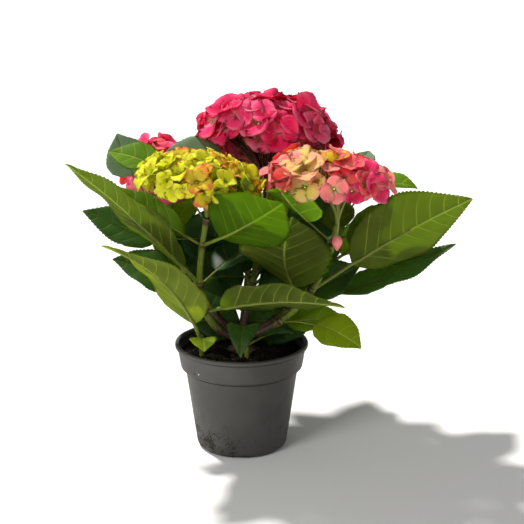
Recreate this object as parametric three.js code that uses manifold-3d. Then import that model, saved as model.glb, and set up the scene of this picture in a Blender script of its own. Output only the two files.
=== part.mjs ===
// A potted mophead hydrangea: pot, potting mix, woody crown, shoots, leaves and flower heads.
// Millimetres, +Z up. The origin is the middle of the pot's flat underside.

import * as THREE from 'three';
import Module from 'manifold-3d';
import { mergeVertices } from 'three/addons/utils/BufferGeometryUtils.js';

const wasm = await Module();
wasm.setup();

// ---------------------------------------------------------------- driving dimensions

const GAP = 0.3;                   // clearance between touching pieces

const POT_HEIGHT = 114;
const POT_RIM = 70;                // radius over the rolled lip
const LIP_HEIGHT = 4;
const LIP_OVERHANG = 2.4;          // how far the lip stands out from the collar
const COLLAR_HEIGHT = 27;          // from the rim down to the step
const COLLAR_TAPER = 3.4;          // the collar's loss of radius down to the step
const STEP_IN = 4.8;               // how far the body sets in under the collar
const STEP_SLOPE = 1.5;            // the height of the sloping step between the two
const LIP_BEVEL = 1;
const BASE_RADIUS = 47.5;
const BASE_ROUNDING = 7;
const POT_WALL = 1.6;
const POT_SIDES = 36;
const DRAIN_SLOTS = 6;
const DRAIN_SLOT = { width: 17, height: 3.2, depth: 14 };

const SOIL_LEVEL = 102;
const SOIL_CROWNING = 3;           // the mix stands this much higher in the middle
const SOIL_SHOULDER = 0.55;        // where it reaches that height, as a share of its radius

const CROWN_LEVEL = 116;           // middle of the knuckle that the shoots leave
const CROWN_FOOT = 15;             // radius of the root flare on the mix
const CROWN_FLARE = 4;             // height of that flare, up to the waist
const CROWN_WAIST = 8;
const KNUCKLE = 11;                // radius
const FOOT_SUNK = 2;               // how deep a shoot's curve starts inside the knuckle
const CROWN_SIDES = 16;

const SHOOT_FOOT = 4.2;            // radius of a shoot where it leaves the crown
const SHOOT_TOP = 2.6;
const STEM_SIDES = 7;
const STEM_STEPS = 11;
const NODE_SWELL = 0.9;            // how far a stem thickens at a pair of leaves
const NODE_REACH = 0.04;           // how far along that goes, as a share of the shoot

const PETIOLE = 1.9;               // radius of a leaf stalk
const BLADE_THICKNESS = 1 / 84;    // of the blade's length
const BLADE_WIDTH = 0.6;           // of the blade's length, where a leaf states none
const PETIOLE_LENGTH = 0.28;       // the same for its stalk
const BLADE_CUP = 14;              // degrees that each half blade rises from the midrib
const BLADE_TIP = { half: 0.6, thick: 0.4 };
const STALK_STEPS = 2;
const BLADE_STEP_POWER = 1.15;     // above 1, the steps are closer at the foot of the blade
const LEAF_STEPS = 9;              // of the stalk and the blade together
const SPINE_STEPS = 60;            // the steps in which a leaf's curved middle line is summed
const BEND_POWER = 1.3;            // above 1, a leaf bends more towards its tip

const CORE_INSET = 9;              // the core lies this far inside the florets
const CORE_SINK = 7.2;             // and this much lower than their dome
const CORE_BELLY = 0.3;            // its lower half's depth, of the upper half's height
const HEAD_BELLY = 0.6;            // the same for the lowest ring of florets
const HEAD_COVER = 1.28;           // how far down the dome they go: 1 is to its widest line, 2 all round
const FLORET_TILT = 0.3;           // how unevenly they face
const FLORET_FOOT = 0.5;           // where a floret's stalk ends in the core, as a share of its reach
const FLORET_DISH = 0.22;          // rise of a floret's rim, for each millimetre outwards
const FLORET_NOTCH = 0.66;         // radius between two sepals, of the radius at their tips
const RAYS = 6;                    // the branches that carry a flower head
const RAY_RADIUS = 1.7;
const RAY_SPREAD = 0.55;           // where they meet the core, of its radius
const HEAD_COLLAR = 5;             // length of the stub that they leave

// Each shoot is a curve from the crown towards a knee and on to its top, and most carry a flower head
// there. foot is the azimuth and the lift, in degrees, at which it leaves the knuckle. split is the
// share of its length where the bare bough ends and the leafy part starts. leaves: share of the
// shoot's length, azimuth and rise in degrees, then what differs from the usual leaf, where bend is
// the change of rise from root to tip, roll turns the blade about its midrib, and sweep is the change
// of azimuth.

const SHOOTS = {
  front_left: {
    foot: [212, 26], knee: [-64, -14, 135], top: [-27, -44, 285], split: 0.16,
    leaves: [
      [0.38, -34, 20, { bend: -20, blade: 148, width: 66, roll: -36, petiole: 22 }],
      [0.57, 202, 50, { bend: -12, blade: 163, width: 54, roll: 25, petiole: 28 }],
      [0.57, 37, 34, { bend: -20, blade: 72, width: 56, petiole: 22 }],
      [0.78, -54, 23, { bend: 8, blade: 114, width: 80, roll: -45, petiole: 36 }],
      [0.78, 168, 28, { bend: 8, blade: 92, width: 46, roll: -18, petiole: 20 }],
      [0.88, 160, 57, { bend: -60, blade: 60, width: 40, roll: -30, petiole: 70 }],
    ],
  },
  front_right: {
    foot: [318, 26], knee: [92, -14, 152], top: [98, -56, 280], split: 0.14,
    leaves: [
      [0.22, -34, 12, { bend: -42, blade: 58, width: 42, roll: 30, petiole: 42 }],
      [0.50, -4, 36, { bend: -10, blade: 137, width: 87, roll: -62, petiole: 50 }],
      [0.42, 218, 50, { bend: 10, blade: 106, width: 92, roll: -2, petiole: 22, sweep: 84 }],
      [0.79, 200, 41, { bend: -4, blade: 67, width: 61, roll: -4, petiole: 38, sweep: 52 }],
      [0.79, 78, 34, { bend: -20, blade: 56, petiole: 16 }],
    ],
  },
  right: {
    foot: [20, 26], knee: [90, 4, 160], top: [118, 60, 262], split: 0.14,
    leaves: [
      [0.28, 0, 15, { bend: 14, blade: 132, width: 54, roll: 25, petiole: 56 }],
      [0.28, 62, 44, { blade: 98, width: 64 }],
      [0.55, 36, 26, { blade: 124, width: 78 }],
      [0.82, -8, 72, { bend: -100, blade: 70, width: 50, roll: 14, petiole: 34 }],
      [0.82, 96, 44, { bend: -50, blade: 84 }],
      [1.0, 60, 60, { bend: -40, blade: 44, width: 34, petiole: 14 }],
    ],
  },
  back_centre: {
    foot: [60, 86], knee: [20, 36, 190], top: [28, 48, 300], split: 0.2,
    leaves: [
      [0.26, 112, 56, { blade: 100, width: 74, petiole: 24 }],
      [0.30, 64, 34, { blade: 88, width: 66, petiole: 20 }],
      [0.52, 164, 50, { blade: 84, width: 62, petiole: 24 }],
      [0.72, 44, 44, { bend: -46, blade: 84 }],
      [0.86, 192, 45, { bend: -54, blade: 64, width: 38, roll: -30, petiole: 54 }],
    ],
  },
  back_left: {
    foot: [150, 26], knee: [-76, 30, 180], top: [-91, 70, 264], split: 0.14,
    leaves: [
      [0.26, 188, 34, { bend: -16, blade: 78, width: 58, roll: -30, petiole: 30 }],
      [0.26, 116, 40, { bend: -26, blade: 104, width: 66 }],
      [0.60, 184, 26, { bend: -6, blade: 94, width: 44, roll: -52, petiole: 24 }],
      [0.60, 98, 46, { bend: -36, blade: 92 }],
      [0.78, 196, 55, { bend: 20, blade: 48, width: 48, roll: -78, petiole: 64 }],
    ],
  },
  back: {
    foot: [90, 26], knee: [8, 92, 170], top: [12, 112, 258], split: 0.14,
    leaves: [
      [0.18, 140, 8, { bend: -8, blade: 84, width: 62, petiole: 20 }],
      [0.18, 40, 10, { bend: -8, blade: 84, width: 62, petiole: 20 }],
      [0.28, 146, 26, { bend: -26, blade: 100, width: 70 }],
      [0.28, 50, 26, { bend: -26, blade: 112, width: 70 }],
      [0.50, 75, 40, { bend: -46, blade: 120, width: 76 }],
      [0.50, 160, 50, { blade: 50 }],
      [0.76, 132, 42, { bend: -46, blade: 104 }],
      [0.76, 30, 42, { bend: -46, blade: 96 }],
    ],
  },
};

// Young shoots that come straight from the mix: where they stand, their height, and their leaves.

const BASAL_SHOOTS = {
  basal_left: {
    at: [-41, -20], height: 22,
    leaves: [
      [0.60, 236, 66, { bend: -44, blade: 138, width: 72, roll: 18, petiole: 26, sweep: -50 }],
      [0.50, 276, 16, { bend: -60, blade: 24, width: 22, petiole: 5 }],
    ],
  },
  basal_front: {
    at: [6, -26], height: 12,
    leaves: [
      [0.90, 262, 74, { bend: -150, blade: 66, width: 34, petiole: 14 }],
      [0.90, -20, 44, { bend: -50, blade: 44, width: 24, petiole: 12 }],
    ],
  },
};

// Flower heads: the shoot that carries each, the middle of its dome, the dome's radius and height,
// its depth over its width, the number of florets and a floret's radius.

const HEADS = {
  back_centre: { centre: [28, 48, 324], radius: 71, height: 43, oval: 0.96, florets: 36, floret: 14.5 },
  front_left: { centre: [-38, -45, 302], radius: 57, height: 17, oval: 0.82, florets: 22, floret: 13 },
  front_right: { centre: [88, -58, 299], radius: 52, height: 19, oval: 0.84, florets: 19, floret: 13.5 },
  back_left: { centre: [-94, 90, 285], radius: 32, height: 26, oval: 1, florets: 12, floret: 13 },
  back: { centre: [10, 122, 282], radius: 38, height: 24, oval: 1, florets: 14, floret: 13 },
};

// ---------------------------------------------------------------- colours

const FINISH = {
  pot: { color: 0x5f5c58, roughness: 0.6 },
  mix: { color: 0x1b1613, roughness: 0.98 },
  crown: { color: 0x5a4630, roughness: 0.9 },
  stem: { color: 0x8fa83e, roughness: 0.55 },
  leaf: { color: 0x4e8420, roughness: 0.5 },
  crimson: { color: 0xc92b55, roughness: 0.6 },
  lime: { color: 0xbccf3c, roughness: 0.6 },
  salmon: { color: 0xe0687a, roughness: 0.6 },
};

const HEAD_FINISH = {
  back_centre: 'crimson',
  front_left: 'lime',
  front_right: 'salmon',
  back_left: 'crimson',
  back: 'salmon',
};

// ---------------------------------------------------------------- small helpers

const plant = new THREE.Group();
const radians = THREE.MathUtils.degToRad;
const vec = (x, y, z) => new THREE.Vector3(x, y, z);
const UP = vec(0, 0, 1);

// A repeatable number from 0 to 1 for a whole number.
function chance(n) {
  const value = Math.sin(n * 12.9898) * 43758.5453;
  return value - Math.floor(value);
}

// The level direction across a heading, or +X where the heading is upright.
function levelAcross(heading) {
  const side = UP.clone().cross(heading);
  if (side.lengthSq() < 1e-6) side.set(1, 0, 0);
  return side.normalize();
}

function addPiece(name, geometry, finish) {
  const material = new THREE.MeshStandardMaterial({ ...FINISH[finish], metalness: 0 });
  const mesh = new THREE.Mesh(geometry, material);
  mesh.name = name;
  plant.add(mesh);
}

function toSolid(geometry) {
  const bare = geometry.clone();
  bare.deleteAttribute('normal');
  bare.deleteAttribute('uv');
  const merged = mergeVertices(bare, 1e-4);
  return new wasm.Manifold(new wasm.Mesh({
    numProp: 3,
    vertProperties: new Float32Array(merged.attributes.position.array),
    triVerts: new Uint32Array(merged.index.array),
  }));
}

function toGeometry(solid) {
  const mesh = solid.getMesh();
  const geometry = new THREE.BufferGeometry();
  geometry.setAttribute('position', new THREE.BufferAttribute(mesh.vertProperties, 3));
  geometry.setIndex(new THREE.BufferAttribute(mesh.triVerts, 1));
  return geometry;
}

function fuse(solids) {
  return solids.reduce((sum, solid) => sum.add(solid));
}

// A drum of unit size carried along a line. Each of its vertices has a share of the height, from
// 0 to 1, and a place across the drum. at(share) gives the frame there, the half width and half
// thickness, and how far the edges lift for each millimetre across.
function carryDrum(sides, steps, at) {
  const drum = new THREE.CylinderGeometry(1, 1, 1, sides, steps);
  const place = drum.attributes.position;
  for (let i = 0; i < place.count; i += 1) {
    const share = THREE.MathUtils.clamp(place.getY(i) + 0.5, 0, 1);
    const across = place.getX(i);
    const through = place.getZ(i);
    const frame = at(share);
    const lift = through * frame.thick + Math.abs(across) * frame.wide * (frame.cup ?? 0);
    const point = frame.centre.clone();
    point.addScaledVector(frame.side, -across * frame.wide);
    point.addScaledVector(frame.normal, lift);
    place.setXYZ(i, point.x, point.y, point.z);
  }
  return toSolid(drum);
}

// ---------------------------------------------------------------- pot and potting mix

const COLLAR_TOP = POT_RIM - LIP_OVERHANG;
const COLLAR_FOOT = COLLAR_TOP - COLLAR_TAPER;
const STEP_LEVEL = POT_HEIGHT - COLLAR_HEIGHT;
const COLLAR_LEVEL = STEP_LEVEL + STEP_SLOPE;
const LIP_LEVEL = POT_HEIGHT - LIP_HEIGHT;
const BODY_TOP = COLLAR_FOOT - STEP_IN;
const SOIL_TOP = SOIL_LEVEL + SOIL_CROWNING;

function lathe(points, sides = POT_SIDES) {
  const profile = points.map(([r, z]) => new THREE.Vector2(r, z));
  const geometry = new THREE.LatheGeometry(profile, sides);
  geometry.rotateX(Math.PI / 2);
  return toSolid(geometry);
}

// The rounded corner between the underside and the wall, as an arc, set in from the outside.
function baseCorner(inset, steps) {
  const points = [];
  for (let i = 0; i <= steps; i += 1) {
    const angle = (i / steps) * (Math.PI / 2);
    const radius = BASE_ROUNDING - inset;
    const r = BASE_RADIUS - BASE_ROUNDING + radius * Math.sin(angle);
    const z = BASE_ROUNDING - radius * Math.cos(angle);
    points.push([r, z]);
  }
  return points;
}

function makePot() {
  const wall = lathe([
    [0, 0],
    ...baseCorner(0, 4),
    [BODY_TOP, STEP_LEVEL],
    [COLLAR_FOOT, COLLAR_LEVEL],
    [COLLAR_TOP, LIP_LEVEL],
    [POT_RIM, LIP_LEVEL + LIP_BEVEL],
    [POT_RIM, POT_HEIGHT - LIP_BEVEL],
    [POT_RIM - LIP_BEVEL, POT_HEIGHT],
    [COLLAR_TOP - POT_WALL, POT_HEIGHT],
    [COLLAR_FOOT - POT_WALL, COLLAR_LEVEL],
    [BODY_TOP - POT_WALL, STEP_LEVEL],
    ...baseCorner(POT_WALL, 3).reverse(),
    [0, POT_WALL],
    [0, 0],
  ]);
  const slots = [];
  for (let i = 0; i < DRAIN_SLOTS; i += 1) {
    const slot = new THREE.BoxGeometry(DRAIN_SLOT.width, DRAIN_SLOT.depth, 2 * DRAIN_SLOT.height);
    slot.translate(0, -BASE_RADIUS, 0);
    slot.rotateZ((i / DRAIN_SLOTS) * 2 * Math.PI);
    slots.push(toSolid(slot));
  }
  addPiece('pot', toGeometry(wall.subtract(fuse(slots))), 'pot');
}

const MIX_INSET = POT_WALL + GAP;
const SOIL_SHARE = (SOIL_LEVEL - COLLAR_LEVEL) / (LIP_LEVEL - COLLAR_LEVEL);
const SOIL_RADIUS = THREE.MathUtils.lerp(COLLAR_FOOT, COLLAR_TOP, SOIL_SHARE) - MIX_INSET - GAP;
const SHOULDER_RADIUS = SOIL_RADIUS * SOIL_SHOULDER;

// The mix fills the pot to its soil level, clear of the wall, and crowns a little in the middle.
function makeMix() {
  const mix = lathe([
    [0, MIX_INSET],
    ...baseCorner(MIX_INSET, 3),
    [BODY_TOP - MIX_INSET, STEP_LEVEL + GAP],
    [COLLAR_FOOT - MIX_INSET, COLLAR_LEVEL + GAP],
    [SOIL_RADIUS, SOIL_LEVEL],
    [SHOULDER_RADIUS, SOIL_TOP],
    [0, SOIL_TOP],
    [0, MIX_INSET],
  ]);
  addPiece('potting_mix', toGeometry(mix), 'mix');
}

// The height of the mix at a radius.
function mixLevel(radius) {
  const fall = (radius - SHOULDER_RADIUS) / (SOIL_RADIUS - SHOULDER_RADIUS);
  return THREE.MathUtils.lerp(SOIL_TOP, SOIL_LEVEL, THREE.MathUtils.clamp(fall, 0, 1));
}

function makeKnuckle(radius) {
  const knuckle = new THREE.SphereGeometry(radius, CROWN_SIDES, 10);
  knuckle.translate(0, 0, CROWN_LEVEL);
  return toSolid(knuckle);
}

// The short woody stem: a flat cut on the mix, a flared foot, a waist that runs up into the knuckle.
function makeCrown() {
  const foot = SOIL_TOP + GAP;
  const neck = CROWN_LEVEL - KNUCKLE / 2;
  const crown = lathe([
    [0, foot],
    [CROWN_FOOT, foot],
    [(CROWN_FOOT + CROWN_WAIST) / 2, foot + CROWN_FLARE / 3],
    [CROWN_WAIST, foot + CROWN_FLARE],
    [CROWN_WAIST, neck],
    [0, neck],
    [0, foot],
  ], CROWN_SIDES);
  addPiece('main_stem', toGeometry(crown.add(makeKnuckle(KNUCKLE))), 'crown');
}

// ---------------------------------------------------------------- shoots

// A shoot's foot lies a little inside the knuckle, which is then cut from the bough with its gap.
function footOf(shoot) {
  const [azimuth, lift] = shoot.foot.map(radians);
  const reach = KNUCKLE - FOOT_SUNK;
  return vec(
    reach * Math.cos(lift) * Math.cos(azimuth),
    reach * Math.cos(lift) * Math.sin(azimuth),
    CROWN_LEVEL + reach * Math.sin(lift),
  );
}

function shootCurve(shoot) {
  return new THREE.QuadraticBezierCurve3(footOf(shoot), vec(...shoot.knee), vec(...shoot.top));
}

// A round limb between two shares of a curve, with its radius at each share.
function limb(curve, from, to, radiusAt, steps) {
  return carryDrum(STEM_SIDES, steps, (share) => {
    const along = THREE.MathUtils.lerp(from, to, share);
    const heading = curve.getTangent(along);
    const side = levelAcross(heading);
    const radius = radiusAt(along);
    return {
      centre: curve.getPoint(along),
      side,
      normal: heading.clone().cross(side),
      wide: radius,
      thick: radius,
    };
  });
}

// A shoot tapers from foot to top, and swells where leaves leave it.
function shootRadius(shoot) {
  return (along) => {
    const swells = shoot.leaves.map(([share]) => Math.max(0, 1 - Math.abs(along - share) / NODE_REACH));
    return THREE.MathUtils.lerp(SHOOT_FOOT, SHOOT_TOP, along) + NODE_SWELL * Math.max(...swells);
  };
}

// ---------------------------------------------------------------- leaves

// The blade's half width at a share of its length, from 0 to 1: a round foot, widest a little below
// the middle, and a drawn-out tip.
function bladeOutline(share) {
  const swell = Math.sin(Math.PI * share ** 0.82) ** 0.8;
  return Math.max(0, swell * (1 - 0.18 * share ** 4));
}

// The middle line of a leaf, from root to tip: its heading turns from rise to rise + bend and sweeps
// sideways. Gives the place, the azimuth and the heading at a share of its length.
function leafSpine(root, length, azimuth, rise, bend, sweep) {
  const turnAt = (share) => radians(azimuth + sweep * share);
  const headingAt = (share) => {
    const tilt = radians(rise + bend * share ** BEND_POWER);
    const level = Math.cos(tilt);
    return vec(level * Math.cos(turnAt(share)), level * Math.sin(turnAt(share)), Math.sin(tilt));
  };
  const points = [root.clone()];
  for (let i = 0; i < SPINE_STEPS; i += 1) {
    const heading = headingAt((i + 0.5) / SPINE_STEPS);
    points.push(points[i].clone().addScaledVector(heading, length / SPINE_STEPS));
  }
  return (share) => {
    const step = Math.min(Math.floor(share * SPINE_STEPS), SPINE_STEPS - 1);
    const place = points[step].clone().lerp(points[step + 1], share * SPINE_STEPS - step);
    return { place, turn: turnAt(share), heading: headingAt(share) };
  };
}

// A leaf and its stalk in one: a flat-sided drum that is thin and wide along the blade.
function makeLeaf(root, azimuth, rise, options) {
  const { bend = -30, blade, roll = 0, sweep = 0 } = options;
  const width = options.width ?? BLADE_WIDTH * blade;
  const petiole = options.petiole ?? PETIOLE_LENGTH * blade;
  const spine = leafSpine(root, petiole + blade, azimuth, rise, bend, sweep);
  const bladeStart = petiole / (petiole + blade);
  const tilt = radians(roll);
  return carryDrum(4, LEAF_STEPS, (level) => {
    const step = Math.round(level * LEAF_STEPS);
    const onStalk = step <= STALK_STEPS;
    const onBlade = Math.max(0, (step - STALK_STEPS) / (LEAF_STEPS - STALK_STEPS)) ** BLADE_STEP_POWER;
    const share = onStalk
      ? bladeStart * (step / STALK_STEPS)
      : THREE.MathUtils.lerp(bladeStart, 1, onBlade);
    const { place, turn, heading } = spine(share);
    const across = vec(-Math.sin(turn), Math.cos(turn), 0);
    const above = heading.clone().cross(across);
    const side = across.clone().multiplyScalar(Math.cos(tilt)).addScaledVector(above, Math.sin(tilt));
    const normal = across.multiplyScalar(-Math.sin(tilt)).addScaledVector(above, Math.cos(tilt));
    const half = Math.max((width / 2) * bladeOutline(onBlade), BLADE_TIP.half);
    const thick = step < STALK_STEPS ? PETIOLE : (blade * BLADE_THICKNESS) / 2;
    return {
      centre: place,
      side,
      normal,
      wide: onStalk ? PETIOLE : half,
      thick: step === LEAF_STEPS ? BLADE_TIP.thick : thick,
      cup: onStalk ? 0 : Math.tan(radians(BLADE_CUP)),
    };
  });
}

function leavesOn(curve, leaves) {
  return leaves.map(([share, azimuth, rise, options]) => (
    makeLeaf(curve.getPoint(share), azimuth, rise, options)
  ));
}

function makeShoot(name, shoot) {
  const curve = shootCurve(shoot);
  const radiusAt = shootRadius(shoot);
  const clear = GAP / curve.getLength();
  const bough = limb(curve, 0, shoot.split, radiusAt, 3).subtract(makeKnuckle(KNUCKLE + GAP));
  addPiece(`bough_${name}`, toGeometry(bough), 'stem');
  const stem = limb(curve, shoot.split + clear, 1, radiusAt, STEM_STEPS);
  addPiece(`foliage_${name}`, toGeometry(fuse([stem, ...leavesOn(curve, shoot.leaves)])), 'leaf');
}

// A basal shoot is measured from the top of the mix, and its stem starts where the mix is beneath it.
function makeBasalShoot(name, shoot) {
  const [x, y] = shoot.at;
  const foot = SOIL_TOP + GAP;
  const curve = new THREE.LineCurve3(vec(x, y, foot), vec(x, y, foot + shoot.height));
  const drop = SOIL_TOP - mixLevel(Math.hypot(x, y) - SHOOT_TOP);
  const stem = limb(curve, -drop / shoot.height, 1, () => SHOOT_TOP, 1);
  addPiece(`foliage_${name}`, toGeometry(fuse([stem, ...leavesOn(curve, shoot.leaves)])), 'leaf');
}

// ---------------------------------------------------------------- flower heads

// A floret: a dished rim with four lobes, drawn down to its stalk's foot as a funnel.
function makeFloret(centre, foot, facing, radius, turn) {
  const side = levelAcross(facing);
  const front = facing.clone().cross(side);
  const funnel = new THREE.ConeGeometry(1, 1, 8, 1);
  const place = funnel.attributes.position;
  for (let i = 0; i < place.count; i += 1) {
    const x = place.getX(i);
    const z = place.getZ(i);
    const angle = Math.atan2(x, z);
    const lobe = Math.round(angle / (Math.PI / 4)) % 2 === 0 ? 1 : FLORET_NOTCH;
    const spread = Math.hypot(x, z) * lobe * radius;
    const point = place.getY(i) > 0 ? foot.clone() : centre.clone();
    point.addScaledVector(side, spread * Math.sin(angle + turn));
    point.addScaledVector(front, spread * Math.cos(angle + turn));
    point.addScaledVector(facing, spread * FLORET_DISH);
    place.setXYZ(i, point.x, point.y, point.z);
  }
  return toSolid(funnel);
}

// The domed core: a ball scaled to the dome, with a flatter underside.
function makeCore(centre, radius, oval, height) {
  const core = new THREE.SphereGeometry(1, 12, 8);
  core.rotateX(Math.PI / 2);
  const place = core.attributes.position;
  for (let i = 0; i < place.count; i += 1) {
    const z = place.getZ(i) * height * (place.getZ(i) < 0 ? CORE_BELLY : 1);
    place.setXYZ(i, place.getX(i) * radius, place.getY(i) * radius * oval, z);
  }
  core.translate(centre.x, centre.y, centre.z);
  return toSolid(core);
}

// Florets follow the golden angle, from the top of the dome to just under its widest line.
function makeFlorets(centre, head) {
  const { radius, height, oval, florets, floret } = head;
  const golden = Math.PI * (3 - Math.sqrt(5));
  return Array.from({ length: florets }, (_, k) => {
    const level = 1 - ((k + 0.5) / florets) * HEAD_COVER;
    const ring = Math.sqrt(1 - level * level);
    const out = vec(ring * Math.cos(k * golden), ring * Math.sin(k * golden), level);
    const facing = vec(out.x / radius, out.y / (radius * oval), out.z / height).normalize();
    facing.x += FLORET_TILT * (chance(k + 1) - 0.5);
    facing.y += FLORET_TILT * (chance(k + 101) - 0.5);
    facing.normalize();
    const belly = level < 0 ? HEAD_BELLY : 1;
    const reach = vec(out.x * radius, out.y * radius * oval, out.z * height * belly);
    const foot = centre.clone().addScaledVector(reach, FLORET_FOOT);
    return makeFloret(centre.clone().add(reach), foot, facing, floret, chance(k + 201) * Math.PI);
  });
}

// The collar on the shoot's top, a gap above it, and the rays that fan out from it into the core.
function makeRays(name, centre, coreRadius, oval) {
  const heading = shootCurve(SHOOTS[name]).getTangent(1);
  const foot = vec(...SHOOTS[name].top).addScaledVector(heading, GAP);
  const top = foot.clone().addScaledVector(heading, HEAD_COLLAR);
  const solids = [limb(new THREE.LineCurve3(foot, top), 0, 1, () => SHOOT_TOP, 1)];
  const start = foot.clone().lerp(top, 0.6);
  const spread = RAY_SPREAD * coreRadius;
  for (let i = 0; i < RAYS; i += 1) {
    const angle = ((i + 0.5) / RAYS) * 2 * Math.PI;
    const end = centre.clone().add(vec(spread * Math.cos(angle), spread * oval * Math.sin(angle), 0));
    solids.push(limb(new THREE.LineCurve3(start, end), 0, 1, () => RAY_RADIUS, 1));
  }
  return solids;
}

function makeHead(name, head) {
  const centre = vec(...head.centre);
  const coreRadius = head.radius - CORE_INSET;
  const core = makeCore(centre, coreRadius, head.oval, head.height - CORE_SINK);
  const rays = makeRays(name, centre, coreRadius, head.oval);
  const solid = fuse([core, ...makeFlorets(centre, head), ...rays]);
  addPiece(`flower_head_${name}`, toGeometry(solid), HEAD_FINISH[name]);
}

// ---------------------------------------------------------------- the plant

makePot();
makeMix();
makeCrown();
Object.entries(SHOOTS).forEach(([name, shoot]) => makeShoot(name, shoot));
Object.entries(BASAL_SHOOTS).forEach(([name, shoot]) => makeBasalShoot(name, shoot));
Object.entries(HEADS).forEach(([name, head]) => makeHead(name, head));

export default plant;
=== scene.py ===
"""A potted mophead hydrangea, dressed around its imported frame: pot, peat, stems, leaves, flower heads.

The tables give lengths in millimetres and angles in degrees. Every surface is worked out with numpy in
millimetres, in the frame's own place, and made in metres. Each object sits at the origin.
"""

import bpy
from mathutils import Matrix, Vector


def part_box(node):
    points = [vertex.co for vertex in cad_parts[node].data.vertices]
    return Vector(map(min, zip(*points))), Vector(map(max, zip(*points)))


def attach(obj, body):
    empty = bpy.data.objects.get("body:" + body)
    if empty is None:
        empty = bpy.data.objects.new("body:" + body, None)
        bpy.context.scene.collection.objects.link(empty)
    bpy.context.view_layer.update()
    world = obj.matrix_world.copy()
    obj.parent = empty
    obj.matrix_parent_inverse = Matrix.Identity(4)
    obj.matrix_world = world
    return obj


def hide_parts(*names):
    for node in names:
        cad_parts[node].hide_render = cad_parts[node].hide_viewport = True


bl_info = {
    "name": "Potted Hydrangea",
    "version": (1, 0, 0),
    "blender": (4, 5, 0),
    "location": "View3D > Sidebar > Hydrangea",
    "description": "Pot, peat, stems, leaves and flower heads of a potted hydrangea, with its stage",
    "category": "Add Mesh",
}

import bpy
import numpy as np
from bpy.props import FloatProperty, FloatVectorProperty, PointerProperty
from mathutils import Vector

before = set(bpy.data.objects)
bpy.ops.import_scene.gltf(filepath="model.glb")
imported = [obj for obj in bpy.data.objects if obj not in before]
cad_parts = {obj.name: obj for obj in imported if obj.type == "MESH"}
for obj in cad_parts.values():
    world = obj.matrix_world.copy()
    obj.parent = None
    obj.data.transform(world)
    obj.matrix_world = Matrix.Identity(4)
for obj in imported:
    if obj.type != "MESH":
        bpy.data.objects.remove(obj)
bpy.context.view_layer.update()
MM = 0.001

# ---------------------------------------------------------------- sizes of the pot and the crown

POT_HIGH = np.array(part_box("pot")[1]) / MM
POT_HEIGHT = POT_HIGH[2]
POT_RIM = POT_HIGH[0]
LIP_HEIGHT = 4
LIP_OVERHANG = 2.4
COLLAR_HEIGHT = 27
COLLAR_TAPER = 3.4
STEP_IN = 4.8
STEP_SLOPE = 1.5
BASE_RADIUS = 47.5
BASE_ROUNDING = 7
POT_WALL = 1.6
DRAIN_SLOTS = 6
DRAIN_WIDTH = 17
DRAIN_HEIGHT = 3.2
DRAIN_DEPTH = 7                    # inwards from the base radius
LIP_LEVEL = POT_HEIGHT - LIP_HEIGHT
COLLAR_LEVEL = POT_HEIGHT - COLLAR_HEIGHT
COLLAR_TOP = POT_RIM - LIP_OVERHANG
COLLAR_FOOT = COLLAR_TOP - COLLAR_TAPER
BODY_TOP = COLLAR_FOOT - STEP_IN
GAP = 0.3                          # between one solid and the next
AXIS_GAP = 0.4                     # between the axis and the ends of a turned section

SOIL_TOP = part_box("potting_mix")[1][2] / MM
CROWN_HIGH = np.array(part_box("main_stem")[1]) / MM
CROWN_FOOT = CROWN_HIGH[0]
CROWN_WAIST = 8
KNUCKLE = 11
FOOT_SUNK = 2
CROWN_LEVEL = CROWN_HIGH[2] - KNUCKLE
SHOOT_FOOT = 4.2                   # radius
SHOOT_TOP = 2.6

# ---------------------------------------------------------------- the plant's plan
# A leaf: the share of its shoot's length where it grows, its azimuth and its rise, then what differs
# from the usual leaf. look names the finishes of its two sides.

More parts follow.
